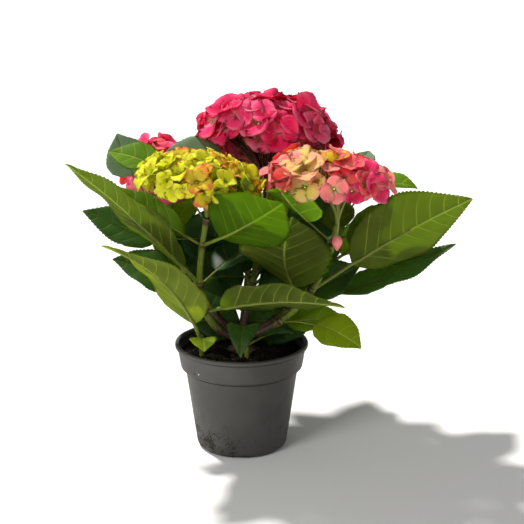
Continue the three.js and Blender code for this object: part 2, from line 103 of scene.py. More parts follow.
SHOOTS = {
    "front_left": dict(foot=(212, 26), knee=(-64, -14, 135), top=(-27, -44, 285), fork=0.9, leaves=[
        (0.38, -34, 20, dict(bend=-20, blade=148, width=66, roll=-36, petiole=22, look="mid")),
        (0.57, 202, 50.5, dict(bend=-12, blade=163, width=58, roll=25, petiole=28, look="mid")),
        (0.57, 37, 34, dict(bend=-20, blade=72, width=56, petiole=22, look="deep")),
        # painted shade: this leaf's look has a darker, greener copy of the underside
        (0.78, -54, 23, dict(bend=8, blade=114, width=80, roll=-45, petiole=36, look="mid_painted_shade")),
        (0.78, 168, 28, dict(bend=8, blade=92, width=46, roll=-18, petiole=20, look="mid")),
        (0.88, 160, 57, dict(bend=-60, blade=60, width=40, roll=-30, petiole=70, look="bright")),
    ]),
    "front_right": dict(foot=(318, 26), knee=(92, -14, 152), top=(98, -56, 280), fork=0.88, leaves=[
        (0.22, -34, 12, dict(bend=-42, blade=58, width=42, roll=30, petiole=42, look="sunlit")),
        (0.50, -4, 36, dict(bend=-10, blade=137, width=87, roll=-62, petiole=50, look="mid")),
        (0.42, 218, 50, dict(bend=10, blade=106, width=92, roll=-2, petiole=22, sweep=84, look="mid")),
        # painted light: this leaf's look has lighter copies of the greens, which stand in for light on it
        (0.79, 200, 41, dict(bend=-4, blade=67, width=61, roll=-4, petiole=38, sweep=52, look="painted_light_green")),
        (0.79, 78, 34, dict(bend=-20, blade=56, petiole=16, look="mid")),
    ]),
    "right": dict(foot=(20, 26), knee=(90, 4, 160), top=(118, 60, 262), fork=1, leaves=[
        (0.28, 0, 16, dict(bend=14, blade=132, width=46, roll=20, petiole=56, look="deep")),
        (0.28, 62, 44, dict(blade=98, width=64, look="deep")),
        (0.55, 36, 26, dict(blade=124, width=78, look="mid")),
        (0.82, -8, 72, dict(bend=-100, blade=70, width=50, roll=14, petiole=34, look="bright")),
        (0.82, 96, 44, dict(bend=-50, blade=84, look="mid")),
        (1.0, 60, 60, dict(bend=-40, blade=44, width=34, petiole=14, look="glaucous")),
    ]),
    "back_centre": dict(foot=(60, 86), knee=(20, 36, 190), top=(28, 48, 300), fork=0.8, leaves=[
        (0.26, 112, 56, dict(blade=100, width=74, petiole=24, look="deep")),
        (0.30, 64, 34, dict(blade=88, width=66, petiole=20, look="deep")),
        (0.52, 164, 50, dict(blade=84, width=62, petiole=24, look="deep")),
        (0.72, 44, 44, dict(bend=-46, blade=84, look="mid")),
        (0.86, 192, 45, dict(bend=-54, blade=64, width=38, roll=-30, petiole=54, look="glaucous")),
    ]),
    "back_left": dict(foot=(150, 26), knee=(-76, 30, 180), top=(-91, 70, 264), fork=0.9, leaves=[
        (0.26, 188, 34, dict(bend=-16, blade=78, width=58, roll=-30, petiole=30, look="deep")),
        (0.26, 116, 40, dict(bend=-26, blade=104, width=66, look="mid")),
        (0.60, 184, 28, dict(bend=-6, blade=84, width=42, roll=-52, petiole=24, look="deep")),
        (0.60, 98, 46, dict(bend=-36, blade=92, look="mid")),
        (0.78, 196, 55, dict(bend=20, blade=48, width=48, roll=-78, petiole=64, look="glaucous")),
    ]),
    "back": dict(foot=(90, 26), knee=(8, 92, 170), top=(12, 112, 258), fork=0.9, leaves=[
        (0.18, 140, 8, dict(bend=-8, blade=84, width=62, petiole=20, look="deep")),
        (0.18, 40, 10, dict(bend=-8, blade=84, width=62, petiole=20, look="deep")),
        (0.28, 146, 26, dict(bend=-26, blade=100, width=70, look="deep")),
        (0.28, 50, 26, dict(bend=-26, blade=112, width=70, look="mid")),
        (0.50, 75, 40, dict(bend=-46, blade=120, width=76, look="mid")),
        (0.50, 160, 50, dict(blade=50, look="bright")),
        (0.76, 132, 42, dict(bend=-46, blade=104, look="mid")),
        (0.76, 30, 42, dict(bend=-46, blade=96, look="bright")),
    ]),
}

BASAL_SHOOTS = {
    "basal_left": dict(at=(-41, -20), height=22, leaves=[
        (0.6, 236, 66, dict(bend=-44, blade=138, width=71, roll=18, petiole=26, sweep=-50, look="sunlit")),
        (0.8, 278, 26, dict(bend=-74, blade=27, width=28, petiole=6, look="young")),
    ]),
    "basal_front": dict(at=(6, -26), height=12, leaves=[
        (0.9, 265, 74, dict(bend=-150, blade=76, width=33, petiole=14, look="deep")),
        (0.9, -20, 44, dict(bend=-50, blade=44, width=24, petiole=12, look="deep")),
    ]),
}

# Smaller leaves inside the crown, on the same shoots, that close the view through it.

INNER_LEAVES = {
    "back": [
        (0.08, 182, 4, dict(bend=-6, blade=52, width=46, roll=-60, petiole=3, look="deep")),
        (0.08, -2, 4, dict(bend=-6, blade=77, width=56, roll=60, petiole=4, look="deep")),
        (0.22, 172, 22, dict(bend=-10, blade=96, width=70, roll=-52, petiole=16, look="deep")),
        (0.22, 8, 22, dict(bend=-10, blade=96, width=70, roll=52, petiole=16, look="deep")),
        (0.42, 190, 34, dict(bend=-20, blade=84, width=62, roll=-50, petiole=14, look="deep")),
        (0.42, -12, 34, dict(bend=-20, blade=84, width=62, roll=50, petiole=14, look="deep")),
    ],
    "back_centre": [
        (0.12, 205, 40, dict(bend=-20, blade=56, width=42, roll=-40, petiole=14, look="deep")),
        (0.12, 335, 40, dict(bend=-20, blade=60, width=46, roll=40, petiole=14, look="deep")),
        (0.36, 188, 4, dict(bend=-6, blade=66, width=60, roll=-62, petiole=10, look="deep")),
        (0.40, 330, 36, dict(bend=-20, blade=54, width=42, roll=30, petiole=14, look="mid")),
        (0.66, -4, 12, dict(bend=-10, blade=70, width=58, roll=54, petiole=26, look="deep")),
    ],
    "right": [
        (0.12, -16, 12, dict(bend=-4, blade=64, width=34, roll=34, petiole=22, look="mid")),
        (0.16, 80, 50, dict(bend=-20, blade=60, width=46, roll=40, petiole=14, look="deep")),
        (0.36, -8, 34, dict(bend=-8, blade=62, width=44, roll=50, petiole=12, look="deep")),
        (0.68, 200, 12, dict(bend=-10, blade=56, width=46, roll=-54, petiole=12, look="deep")),
        (0.76, -20, 14, dict(bend=-10, blade=70, width=60, roll=50, petiole=10, look="mid")),
    ],
    "back_left": [
        (0.68, -4, 4, dict(bend=-8, blade=72, width=60, roll=60, petiole=10, look="deep")),
    ],
}

# A head: the middle of its dome, the dome's radius and height, its depth over its width, how many
# florets stand on it and inside it, how long their sepals are, and how far past the dome's widest line
# they reach: 1 is down to it. tints deals finishes out to the florets, in groups from left to right,
# and sizes does the same for their size. tip leans the dome's top back and to the left, in degrees,
# and bud is the middle of a closed bud that hangs beneath it.

HEADS = {
    "back_centre": dict(
        centre=(29, 48, 321), radius=61.5, height=34, oval=0.96, tip=(19, -5), florets=58, inner=20,
        sepal=22.5, cover=1.02, shape="broad",
        tints=(("rose", "crimson", "rose", "crimson", "pink", "rose"),),
        stalk="red", slot="crimson_flower"),
    "front_left": dict(
        centre=(-41, -45, 294), radius=52, height=19, oval=0.82, tip=(4, -7), florets=50, inner=24,
        sepal=16, cover=1.12, shape="pointed",
        tints=(("lime", "flushed", "lime"), ("lime", "flushed", "lime", "lime"),
               ("lime", "green", "lime", "flushed"), ("green", "lime", "flushed", "lime")),
        stalk="green", slot="lime_flower"),
    "front_right": dict(
        centre=(88, -58, 296), radius=51, height=22, oval=0.84, tip=(0, -4), florets=42, inner=14,
        sepal=16, cover=1.04, shape="open", sizes=(1.3, 0.72, 1.05, 1),
        tints=(("coral", "blush", "coral"), ("flushed", "cream", "blush"),
               ("blush", "flushed", "coral", "cream"), ("rose", "coral", "rose"),
               ("rose", "blush", "coral")),
        stalk="green", slot="salmon_flower", bud=(95, -62, 236)),
    "back_left": dict(
        centre=(-91, 86, 278), radius=31, height=25, oval=1, tip=(-38, 6), florets=20, inner=8,
        sepal=18, cover=1.2, shape="broad", tints=(("rose", "coral", "pink", "rose"),),
        stalk="red", slot="crimson_flower"),
    "back": dict(
        centre=(10, 122, 282), radius=38, height=24, oval=1, tip=(0, 0), florets=22, inner=6,
        sepal=14, cover=1.28, shape="broad", tints=(("coral", "rose", "blush"),),
        stalk="green", slot="salmon_flower"),
}

# ---------------------------------------------------------------- numbers and lines


def chance(seeds):
    """Repeatable numbers from 0 to 1: the fraction of a large multiple of a sine of each seed."""
    value = np.sin(np.asarray(seeds, float) * 12.9898) * 43758.5453
    return value - np.floor(value)


def between(low, high, seeds):
    """Repeatable numbers from low to high."""
    return low + (high - low) * chance(seeds)


def unit(vectors):
    """Vectors scaled to length one, along the last axis."""
    return vectors / np.maximum(np.linalg.norm(vectors, axis=-1, keepdims=True), 1e-9)


def ease(values, start, end):
    """A smooth step from 0 at start to 1 at end: 3t^2 - 2t^3."""
    t = np.clip((np.asarray(values, float) - start) / (end - start), 0, 1)
    return t * t * (3 - 2 * t)


def ripple(points, wavelength, seed, waves=7):
    """A smooth uneven field from -1 to 1 over points: the mean of sines along seeded directions."""
    turns = chance(np.arange(waves * 3) + seed * 17.3).reshape(waves, 3)
    level = 2 * turns[:, 0] - 1
    ring = np.sqrt(1 - level ** 2)
    around = 2 * np.pi * turns[:, 1]
    ways = np.stack([ring * np.cos(around), ring * np.sin(around), level], 1)
    phase = 2 * np.pi * turns[:, 2]
    return np.sin(points @ ways.T * (2 * np.pi / wavelength) + phase).mean(-1) * 1.6


def bezier(points, share):
    """Places on a quadratic Bezier curve: a(1-t)^2 + 2b t(1-t) + c t^2."""
    a, b, c = (np.asarray(p, float) for p in points)
    t = np.asarray(share, float)[..., None]
    return a * (1 - t) ** 2 + 2 * b * t * (1 - t) + c * t ** 2


def rounded(corners, steps=5):
    """A profile with its corners rounded: each (radius, height, rounding) corner becomes a quadratic
    curve that starts and ends that rounding away from it."""
    flat = np.array([c[:2] for c in corners], float)
    points = [flat[:1]]
    for i in range(1, len(corners) - 1):
        here, rounding = flat[i], corners[i][2]
        if not rounding:
            points.append(here[None])
            continue
        back, ahead = unit(flat[i - 1] - here), unit(flat[i + 1] - here)
        arc = (here + back * rounding, here, here + ahead * rounding)
        points.append(bezier(arc, np.linspace(0, 1, steps)))
    points.append(flat[-1:])
    return np.concatenate(points)


# ---------------------------------------------------------------- meshes

CELL_BORDER = 0.04                 # of a cell of the atlas, on each side


def placed(name, data):
    """An object in the scene, made from its data."""
    made = bpy.data.objects.new(name, data)
    bpy.context.scene.collection.objects.link(made)
    return made


def sheet_faces(rows, columns, wrap=False):
    """Quads of a grid whose points run row by row, each with its four corners' places from 0 to 1.
    With wrap the last column joins the first."""
    i, j = np.meshgrid(np.arange(rows - 1), np.arange(columns if wrap else columns - 1), indexing="ij")
    i, j = i.ravel(), j.ravel()
    rise, go = np.array([0, 0, 1, 1]), np.array([0, 1, 1, 0])
    row = i[:, None] + rise
    column = j[:, None] + go
    faces = row * columns + (column % columns)
    span = columns if wrap else columns - 1
    return faces, np.stack([row / (rows - 1), column / span], -1)


def cap_faces(ring):
    """Quads that close a ring with an even number of points: strips from side to side."""
    n = len(ring)
    k = np.arange(n // 2 - 1)
    return ring[np.stack([k, k + 1, n - 2 - k, n - 1 - k], 1)]


def capped_faces(steps, sides):
    """Quads of a tube whose rings of points follow one another, closed at both ends."""
    wall, _ = sheet_faces(steps, sides, wrap=True)
    ring = np.arange(sides)
    first = cap_faces(ring)[:, ::-1]
    last = cap_faces(ring + (steps - 1) * sides)
    return np.concatenate([wall, first, last])


class Surface:
    """Points, faces and maps of one piece, gathered part by part and then made into an object."""

    def __init__(self):
        self.points, self.faces, self.finish, self.maps, self.atlas, self.values = [], [], [], [], [], []
        self.count = 0
        self.cells = 0

    def add(self, points, faces, finish=0, pattern=None, places=None, cells=None, value=0.0):
        """points is (n, 3), faces (m, 4), pattern (n, 2) what the finish's pattern follows, places
        (m, 4, 2) each corner's place in its own cell of the atlas, cells (m) the cell, and value an
        amount for each point. finish is one number, or one for each face."""
        points, faces = points.reshape(-1, 3), faces.reshape(-1, 4)
        self.points.append(points)
        self.faces.append(faces + self.count)
        self.finish.append(np.broadcast_to(finish, len(faces)))
        self.values.append(np.broadcast_to(value, len(points)))
        if pattern is not None:
            self.maps.append(pattern.reshape(-1, 2)[faces])
            cells = np.broadcast_to(cells, len(faces)) + self.cells
            self.atlas.append((places, cells))
            self.cells = cells.max() + 1
        self.count += len(points)

    def build(self, name, finishes, attribute=None, pattern=None):
        """Makes the object. The atlas lays its cells out in a square, each with a narrow border."""
        points = np.concatenate(self.points)
        faces = np.concatenate(self.faces)
        mesh = bpy.data.meshes.new(name)
        mesh.vertices.add(len(points))
        mesh.vertices.foreach_set("co", points.astype(np.float32).ravel())
        mesh.loops.add(faces.size)
        mesh.loops.foreach_set("vertex_index", faces.astype(np.int32).ravel())
        mesh.polygons.add(len(faces))
        mesh.polygons.foreach_set("loop_start", np.arange(len(faces), dtype=np.int32) * 4)
        mesh.polygons.foreach_set("material_index", np.concatenate(self.finish).astype(np.int32))
        mesh.polygons.foreach_set("use_smooth", np.ones(len(faces), bool))
        if attribute:
            held = mesh.attributes.new(attribute, "FLOAT", "POINT")
            held.data.foreach_set("value", np.concatenate(self.values).astype(np.float32))
        if pattern:
            side = int(np.ceil(np.sqrt(self.cells)))
            places = np.concatenate([p for p, _ in self.atlas])
            cells = np.concatenate([c for _, c in self.atlas])[:, None]
            corner = np.stack([cells % side, cells // side], -1)
            atlas = (corner + CELL_BORDER + (1 - 2 * CELL_BORDER) * places) / side
            for label, values in ((pattern, np.concatenate(self.maps)), ("OFBake", atlas)):
                layer = mesh.uv_layers.new(name=label)
                layer.data.foreach_set("uv", values.astype(np.float32).ravel())
        for finish in finishes:
            mesh.materials.append(finish)
        mesh.update(calc_edges=True)
        mesh.validate()
        return placed(name, mesh)


def add_tubes(surface, paths, radii, sides=10, finish=0, value=0.0):
    """Round tubes, closed at both ends: a ring of points about each place of each path, in the plane
    across the path there. paths is (n, steps, 3) and radii (n, steps)."""
    n, steps, _ = paths.shape
    along = unit(np.gradient(paths, axis=1))
    mean = unit(paths[:, -1] - paths[:, 0])
    least = np.eye(3)[np.abs(mean).argmin(1)]
    side = unit(np.cross(along, least[:, None]))
    other = np.cross(along, side)
    angle = np.arange(sides) / sides * 2 * np.pi
    ring = side[:, :, None] * np.cos(angle)[:, None] + other[:, :, None] * np.sin(angle)[:, None]
    points = paths[:, :, None] + ring * np.broadcast_to(radii, (n, steps))[:, :, None, None]
    faces = capped_faces(steps, sides)[None] + (np.arange(n) * steps * sides)[:, None, None]
    values = np.broadcast_to(value, (n, steps))
    spread = np.repeat(values.reshape(-1), sides)
    surface.add(points, faces, finish, value=spread)


def add_shells(surface, middle, over, under, finish, pattern):
    """Thin closed shells about middle surfaces. middle is (n, rows, columns, 3), over and under the
    thickness to each side, which fades to nothing at the rim, where both sides share their points.
    finish is (n, 2): the finishes of the upper and the lower side."""
    n, rows, columns, _ = middle.shape
    normal = unit(np.cross(np.gradient(middle, axis=1), np.gradient(middle, axis=2)))
    inside = np.zeros((rows, columns), bool)
    inside[1:-1, 1:-1] = True
    upper = middle + normal * (over * inside)[..., None]
    lower = (middle - normal * under[..., None])[:, inside]
    total = rows * columns + lower.shape[1]
    low = np.arange(rows * columns).reshape(rows, columns)
    low[inside] = rows * columns + np.arange(lower.shape[1])
    faces, places = sheet_faces(rows, columns)
    both = np.concatenate([faces[:, ::-1], low.ravel()[faces]])
    both = both[None] + (np.arange(n) * total)[:, None, None]
    points = np.concatenate([upper.reshape(n, -1, 3), lower], 1)
    grid = np.concatenate([pattern.reshape(n, -1, 2), pattern[:, inside]], 1)
    m = len(faces)
    sides = np.repeat(np.arange(2), m)
    cells = 2 * np.arange(n)[:, None] + sides
    corners = np.concatenate([places[:, ::-1], places])
    corners = np.broadcast_to(corners, (n,) + corners.shape).reshape(-1, 4, 2)
    surface.add(points, both, np.asarray(finish)[:, sides].ravel(), grid, corners, cells.ravel())


# ---------------------------------------------------------------- finishes


class Graph:
    """Short ways to add and join the nodes of one tree. A value is a socket to join or a number."""

    def __init__(self, tree):
        self.tree = tree

    def node(self, kind, **settings):
        """A new node with its settings."""
        made = self.tree.nodes.new(kind)
        for key, value in settings.items():
            setattr(made, key, value)
        return made

    def feed(self, socket, value):
        """Joins a value to a socket, or sets the socket to it."""
        if isinstance(value, bpy.types.NodeSocket):
            self.tree.links.new(value, socket)
        else:
            socket.default_value = value

    def math(self, operation, *values):
        """The result of one operation."""
        made = self.node("ShaderNodeMath", operation=operation)
        for socket, value in zip(made.inputs, values):
            self.feed(socket, value)
        return made.outputs[0]

    def times(self, first, second):
        """The product of two values."""
        return self.math("MULTIPLY", first, second)

    def plus(self, first, second):
        """The sum of two values."""
        return self.math("ADD", first, second)

    def most(self, first, second):
        """The greater of two values."""
        return self.math("MAXIMUM", first, second)

    def step(self, value, low, high, start=0.0, end=1.0):
        """A smooth step of value from start at low to end at high."""
        made = self.node("ShaderNodeMapRange", interpolation_type="SMOOTHSTEP")
        for socket, part in zip(made.inputs, (value, low, high, start, end)):
            self.feed(socket, part)
        return made.outputs[0]

    def fall(self, value, low, high, end=0.0):
        """A smooth step of value from 1 at low to end at high."""
        return self.step(value, low, high, 1.0, end)

    def mix(self, share, first, second):
        """The first colour where share is 0, the second where it is 1."""
        made = self.node("ShaderNodeMix", data_type="RGBA")
        for socket, value in ((made.inputs[0], share), (made.inputs[6], first), (made.inputs[7], second)):
            self.feed(socket, value)
        return made.outputs[2]

    def mottle(self, first, second, scale, balance=0.5):
        """Two colours in soft patches, from the shared group."""
        return self.group(shared("Mottle", mottle_group), First=colour(first), Second=colour(second),
                          Scale=scale, Balance=balance)["Colour"]

    def noise(self, scale, detail=2.0):
        """Cloudy noise from 0 to 1, with scale clouds to the metre."""
        made = self.node("ShaderNodeTexNoise")
        self.feed(made.inputs["Vector"], self.place())
        self.feed(made.inputs["Scale"], scale)
        made.inputs["Detail"].default_value = detail
        return made.outputs[0]

    def place(self):
        """The place on the object, in metres."""
        return self.node("ShaderNodeTexCoord").outputs["Object"]

    def split(self, vector):
        """The three parts of a vector."""
        made = self.node("ShaderNodeSeparateXYZ")
        self.feed(made.inputs[0], vector)
        return made.outputs

    def group(self, tree, **inputs):
        """A node group with its inputs."""
        made = self.node("ShaderNodeGroup", node_tree=tree)
        for key, value in inputs.items():
            self.feed(made.inputs[key], value)
        return made.outputs


def new_group(name, inputs, outputs):
    """An empty node group with named sockets, its graph, and its two end nodes."""
    tree = bpy.data.node_groups.new(name, "ShaderNodeTree")
    for way, sockets in (("INPUT", inputs), ("OUTPUT", outputs)):
        for label, kind in sockets:
            tree.interface.new_socket(name=label, in_out=way, socket_type=kind)
    graph = Graph(tree)
    return tree, graph, graph.node("NodeGroupInput").outputs, graph.node("NodeGroupOutput").inputs


NUMBER, COLOUR = "NodeSocketFloat", "NodeSocketColor"
SIDE_VEIN = 0.75                   # the strength of side veins and of the net, of the midrib's
NET_STRENGTH = 0.08
NET_CELLS = 6.5                    # cells of the net from one side vein to the next
NET_LINE = 0.16                    # the width of its lines, of a cell


def blade_veins_group():
    """Veins of a blade. Its map counts side veins along the blade, and the same lengths across it:
    a side vein lies where the count is whole, the midrib where the second value is 0, and a fine
    net of cell borders lies between them. Side veins narrow to the edge."""
    tree, g, given, out = new_group(
        "Blade veins", [("Width", NUMBER)], [("Veins", NUMBER), ("Net", NUMBER), ("Height", NUMBER)])
    place = g.node("ShaderNodeUVMap", uv_map="BladeMap").outputs[0]
    count, across, _ = g.split(place)
    side = g.math("ABSOLUTE", g.math("SUBTRACT", g.math("FRACT", g.plus(count, 0.5)), 0.5))
    far = g.math("ABSOLUTE", across)
    width = g.times(given["Width"], g.fall(far, 0.3, 2.2, 0.35))
    lateral = g.fall(g.math("DIVIDE", side, width), 0.5, 1.4)
    midrib = g.fall(g.math("DIVIDE", far, given["Width"]), 0.9, 2.0)
    veins = g.most(g.times(lateral, SIDE_VEIN), midrib)
    cells = g.node("ShaderNodeTexVoronoi", feature="DISTANCE_TO_EDGE", voronoi_dimensions="2D")
    g.feed(cells.inputs["Vector"], place)
    g.feed(cells.inputs["Scale"], NET_CELLS)
    net = g.fall(cells.outputs["Distance"], 0.0, NET_LINE)
    g.feed(out["Veins"], veins)
    g.feed(out["Net"], net)
    g.feed(out["Height"], g.plus(veins, g.times(net, NET_STRENGTH)))
    return tree


PATCH_EDGE = 0.16                  # how softly one colour turns to the other


def mottle_group():
    """Two colours laid in soft patches: Scale patches to the metre, shared out by Balance."""
    tree, g, given, out = new_group(
        "Mottle", [("First", COLOUR), ("Second", COLOUR), ("Scale", NUMBER), ("Balance", NUMBER)],
        [("Colour", COLOUR)])
    cloud = g.noise(given["Scale"], 4.0)
    low = g.math("SUBTRACT", given["Balance"], PATCH_EDGE)
    high = g.plus(given["Balance"], PATCH_EDGE)
    g.feed(out["Colour"], g.mix(g.step(cloud, low, high), given["First"], given["Second"]))
    return tree


SEPAL_CLOUDS = 110.0               # to the metre: they make the heart and the tip ragged
SEPAL_LINES = 21.0                 # radians of the fan from the middle line to an edge


def sepal_marks_group():
    """Marks of a sepal, whose map runs from the heart, 0, to the tip, 1, and from edge to edge: the
    heart, the tip, fine lines that fan out from the heart and fade, and the rim."""
    tree, g, given, out = new_group(
        "Sepal marks", [], [("Heart", NUMBER), ("Tip", NUMBER), ("Lines", NUMBER), ("Edge", NUMBER)])
    place = g.node("ShaderNodeUVMap", uv_map="SepalMap").outputs[0]
    along, across, _ = g.split(place)
    cloud = g.times(g.math("SUBTRACT", g.noise(SEPAL_CLOUDS, 3.0), 0.5), 0.5)
    ragged = g.plus(along, cloud)
    fan = g.math("SINE", g.times(across, SEPAL_LINES))
    fan = g.times(g.step(fan, 0.35, 1.0), g.fall(along, 0.1, 0.9, 0.15))
    g.feed(out["Heart"], g.fall(ragged, 0.05, 0.5))
    g.feed(out["Tip"], g.step(ragged, 0.55, 1.0))
    g.feed(out["Lines"], fan)
    rim = g.most(g.math("ABSOLUTE", across), along)
    g.feed(out["Edge"], g.step(rim, 0.72, 1.0))
    return tree


def shared(name, make):
    """A node group by name, made once."""
    return bpy.data.node_groups.get(name) or make()


def new_finish(name, roughness, specular=0.4, through=None, share=0.0):
    """A material with its Principled shader. Where through is a colour, light also comes through
    from behind in that colour, by that share."""
    material = bpy.data.materials.new(name)
    material.use_nodes = True
    graph = Graph(material.node_tree)
    shader = material.node_tree.nodes["Principled BSDF"]
    shader.inputs["Roughness"].default_value = roughness
    shader.inputs["Specular IOR Level"].default_value = specular
    if through is not None:
        behind = graph.node("ShaderNodeBsdfTranslucent")
        behind.inputs["Color"].default_value = (*through, 1)
        blend = graph.node("ShaderNodeMixShader")
        blend.inputs[0].default_value = share
        graph.feed(blend.inputs[1], shader.outputs[0])
        graph.feed(blend.inputs[2], behind.outputs[0])
        graph.feed(material.node_tree.nodes["Material Output"].inputs["Surface"], blend.outputs[0])
    return material, graph, shader.inputs


def relief(graph, inputs, height, distance):
    """Feeds a Bump node with a height, in metres by distance, and turns the normal of the shader and
    of the light that comes through by it."""
    bump = graph.node("ShaderNodeBump")
    bump.inputs["Distance"].default_value = distance
    graph.feed(bump.inputs["Height"], height)
    graph.feed(inputs["Normal"], bump.outputs[0])
    for shader in graph.tree.nodes:
        if shader.bl_idname == "ShaderNodeBsdfTranslucent":
            graph.feed(shader.inputs["Normal"], bump.outputs[0])


def colour(values):
    """A colour for a socket, held to what a surface can send back."""
    return (*np.clip(np.array(values[:3], float), 0, 1), 1)


VEIN_WIDTH = 0.042                 # about half the width of a vein, of the space between two
LEAF_RELIEF = 0.45 * MM
SEPAL_RELIEF = 0.35 * MM
STEM_RELIEF = 0.5 * MM
PLASTIC_RELIEF = 0.5 * MM
CRUMBLY_RELIEF = 1.2 * MM


def blade_finish(name, dark, light, vein, through, share, roughness, gloss, raised):
    """A leaf side: two greens in soft patches, paler veins and net, uneven roughness, and the veins'
    relief, sunk on the upper side and raised on the lower, over a fine grain."""
    material, g, inputs = new_finish(name, roughness, gloss, through, share)
    base = g.mottle(dark, light, 42.0)
    marks = g.group(shared("Blade veins", blade_veins_group), Width=VEIN_WIDTH)
    tone = g.mix(g.times(marks["Net"], 0.22), base, colour(vein))
    tone = g.mix(g.times(marks["Veins"], 0.8), tone, colour(vein))
    g.feed(inputs["Base Color"], tone)
    g.feed(inputs["Roughness"], g.plus(roughness - 0.06, g.times(g.noise(420.0), 0.14)))
    grain = g.times(g.noise(700.0), 0.35)
    relief(g, inputs, g.plus(g.times(marks["Height"], raised), grain), LEAF_RELIEF)
    return material


def sepal_finish(name, body, second, heart, tip, tip_share, through, edge):
    """A sepal: two close colours in patches, a pale heart, a flushed tip, faint fanning lines and a
    rim of its own. It is matt, and nearly half the light comes through."""
    material, g, inputs = new_finish(name, 0.7, 0.1, through, 0.45)
    base = g.mottle(body, second, 60.0)
    marks = g.group(shared("Sepal marks", sepal_marks_group))
    tone = g.mix(g.times(marks["Tip"], tip_share), base, colour(tip))
    tone = g.mix(g.times(marks["Lines"], 0.22), tone, colour(heart))
    tone = g.mix(g.times(marks["Edge"], 0.55), tone, colour(edge))
    g.feed(inputs["Base Color"], g.mix(marks["Heart"], tone, colour(heart)))
    relief(g, inputs, g.plus(marks["Lines"], g.times(g.noise(500.0), 0.6)), SEPAL_RELIEF)
    return material


def stem_finish(name, pale, second, flush, roughness=0.5):
    """A green stem: streaked, with its flush colour where the Flush value is high, and in dots."""
    material, g, inputs = new_finish(name, roughness, 0.35)
    base = g.mottle(pale, second, 120.0)
    held = g.node("ShaderNodeAttribute", attribute_name="Flush").outputs["Fac"]
    dots = g.step(g.noise(620.0, 1.0), 0.66, 0.76)
    flushed = g.step(g.plus(held, g.noise(300.0)), 0.75, 1.25)
    g.feed(inputs["Base Color"], g.mix(g.most(flushed, g.times(dots, 0.5)), base, colour(flush)))
    relief(g, inputs, g.noise(520.0, 3.0), STEM_RELIEF)
    return material


def crumbly_finish(name, body, second, roughness, gloss, patches, balance, grain, detail):
    """A dry rough thing, such as bark or peat: two close colours in small patches, coarse relief."""
    material, g, inputs = new_finish(name, roughness, gloss)
    g.feed(inputs["Base Color"], g.mottle(body, second, patches, balance))
    relief(g, inputs, g.noise(grain, detail), CRUMBLY_RELIEF)
    return material


def bark_finish(bark, crack):
    """Grey-brown bark with dark cracks."""
    return crumbly_finish("Bark", bark, crack, roughness=0.85, gloss=0.15,
                          patches=210.0, balance=0.52, grain=380.0, detail=5.0)


def peat_finish(name, peat, second):
    """Crumbly peat."""
    return crumbly_finish(name, peat, second, roughness=0.95, gloss=0.08,
                          patches=260.0, balance=0.6, grain=600.0, detail=4.0)


LIP_LINE = (LIP_LEVEL - 0.6) * MM  # where dust is caught, just under the lip and under the collar, and where shade is painted there
COLLAR_LINE = (COLLAR_LEVEL - STEP_SLOPE) * MM
LIP_DUST_AND_SHADE = 1.4 * MM                # how far the dust and the painted shade reach
COLLAR_DUST_AND_SHADE = 1.1 * MM
SPLASH_HEIGHTS = (6 * MM, 50 * MM)               # splashes end between these heights
SPLASH_PLACES = (-55 * MM, 30 * MM)              # and from left to right fall to a quarter
HOLE_SHADE_SPOT = (-48.2, -43.8, 93)          # painted shade of a small hole in the collar, and a painted glint beside it
GLINT_SPOT = (-43.4, -48.7, 94)
GLINT_TONE = (0.6, 0.6, 0.58)


def near_level(graph, height, level, reach):
    """1 within reach of a height, falling to 0."""
    off = graph.math("ABSOLUTE", graph.math("SUBTRACT", height, level))
    return graph.fall(off, reach * 0.4, reach)


def spot(graph, middle, reach):
    """1 at a place in millimetres, falling to 0 at reach, with a ragged edge."""
    far = graph.node("ShaderNodeVectorMath", operation="DISTANCE")
    graph.feed(far.inputs[0], graph.place())
    far.inputs[1].default_value = [value * MM for value in middle]
    ragged = graph.times(far.outputs["Value"], graph.plus(0.5, graph.noise(900.0)))
    return graph.fall(ragged, reach * 0.5 * MM, reach * MM)


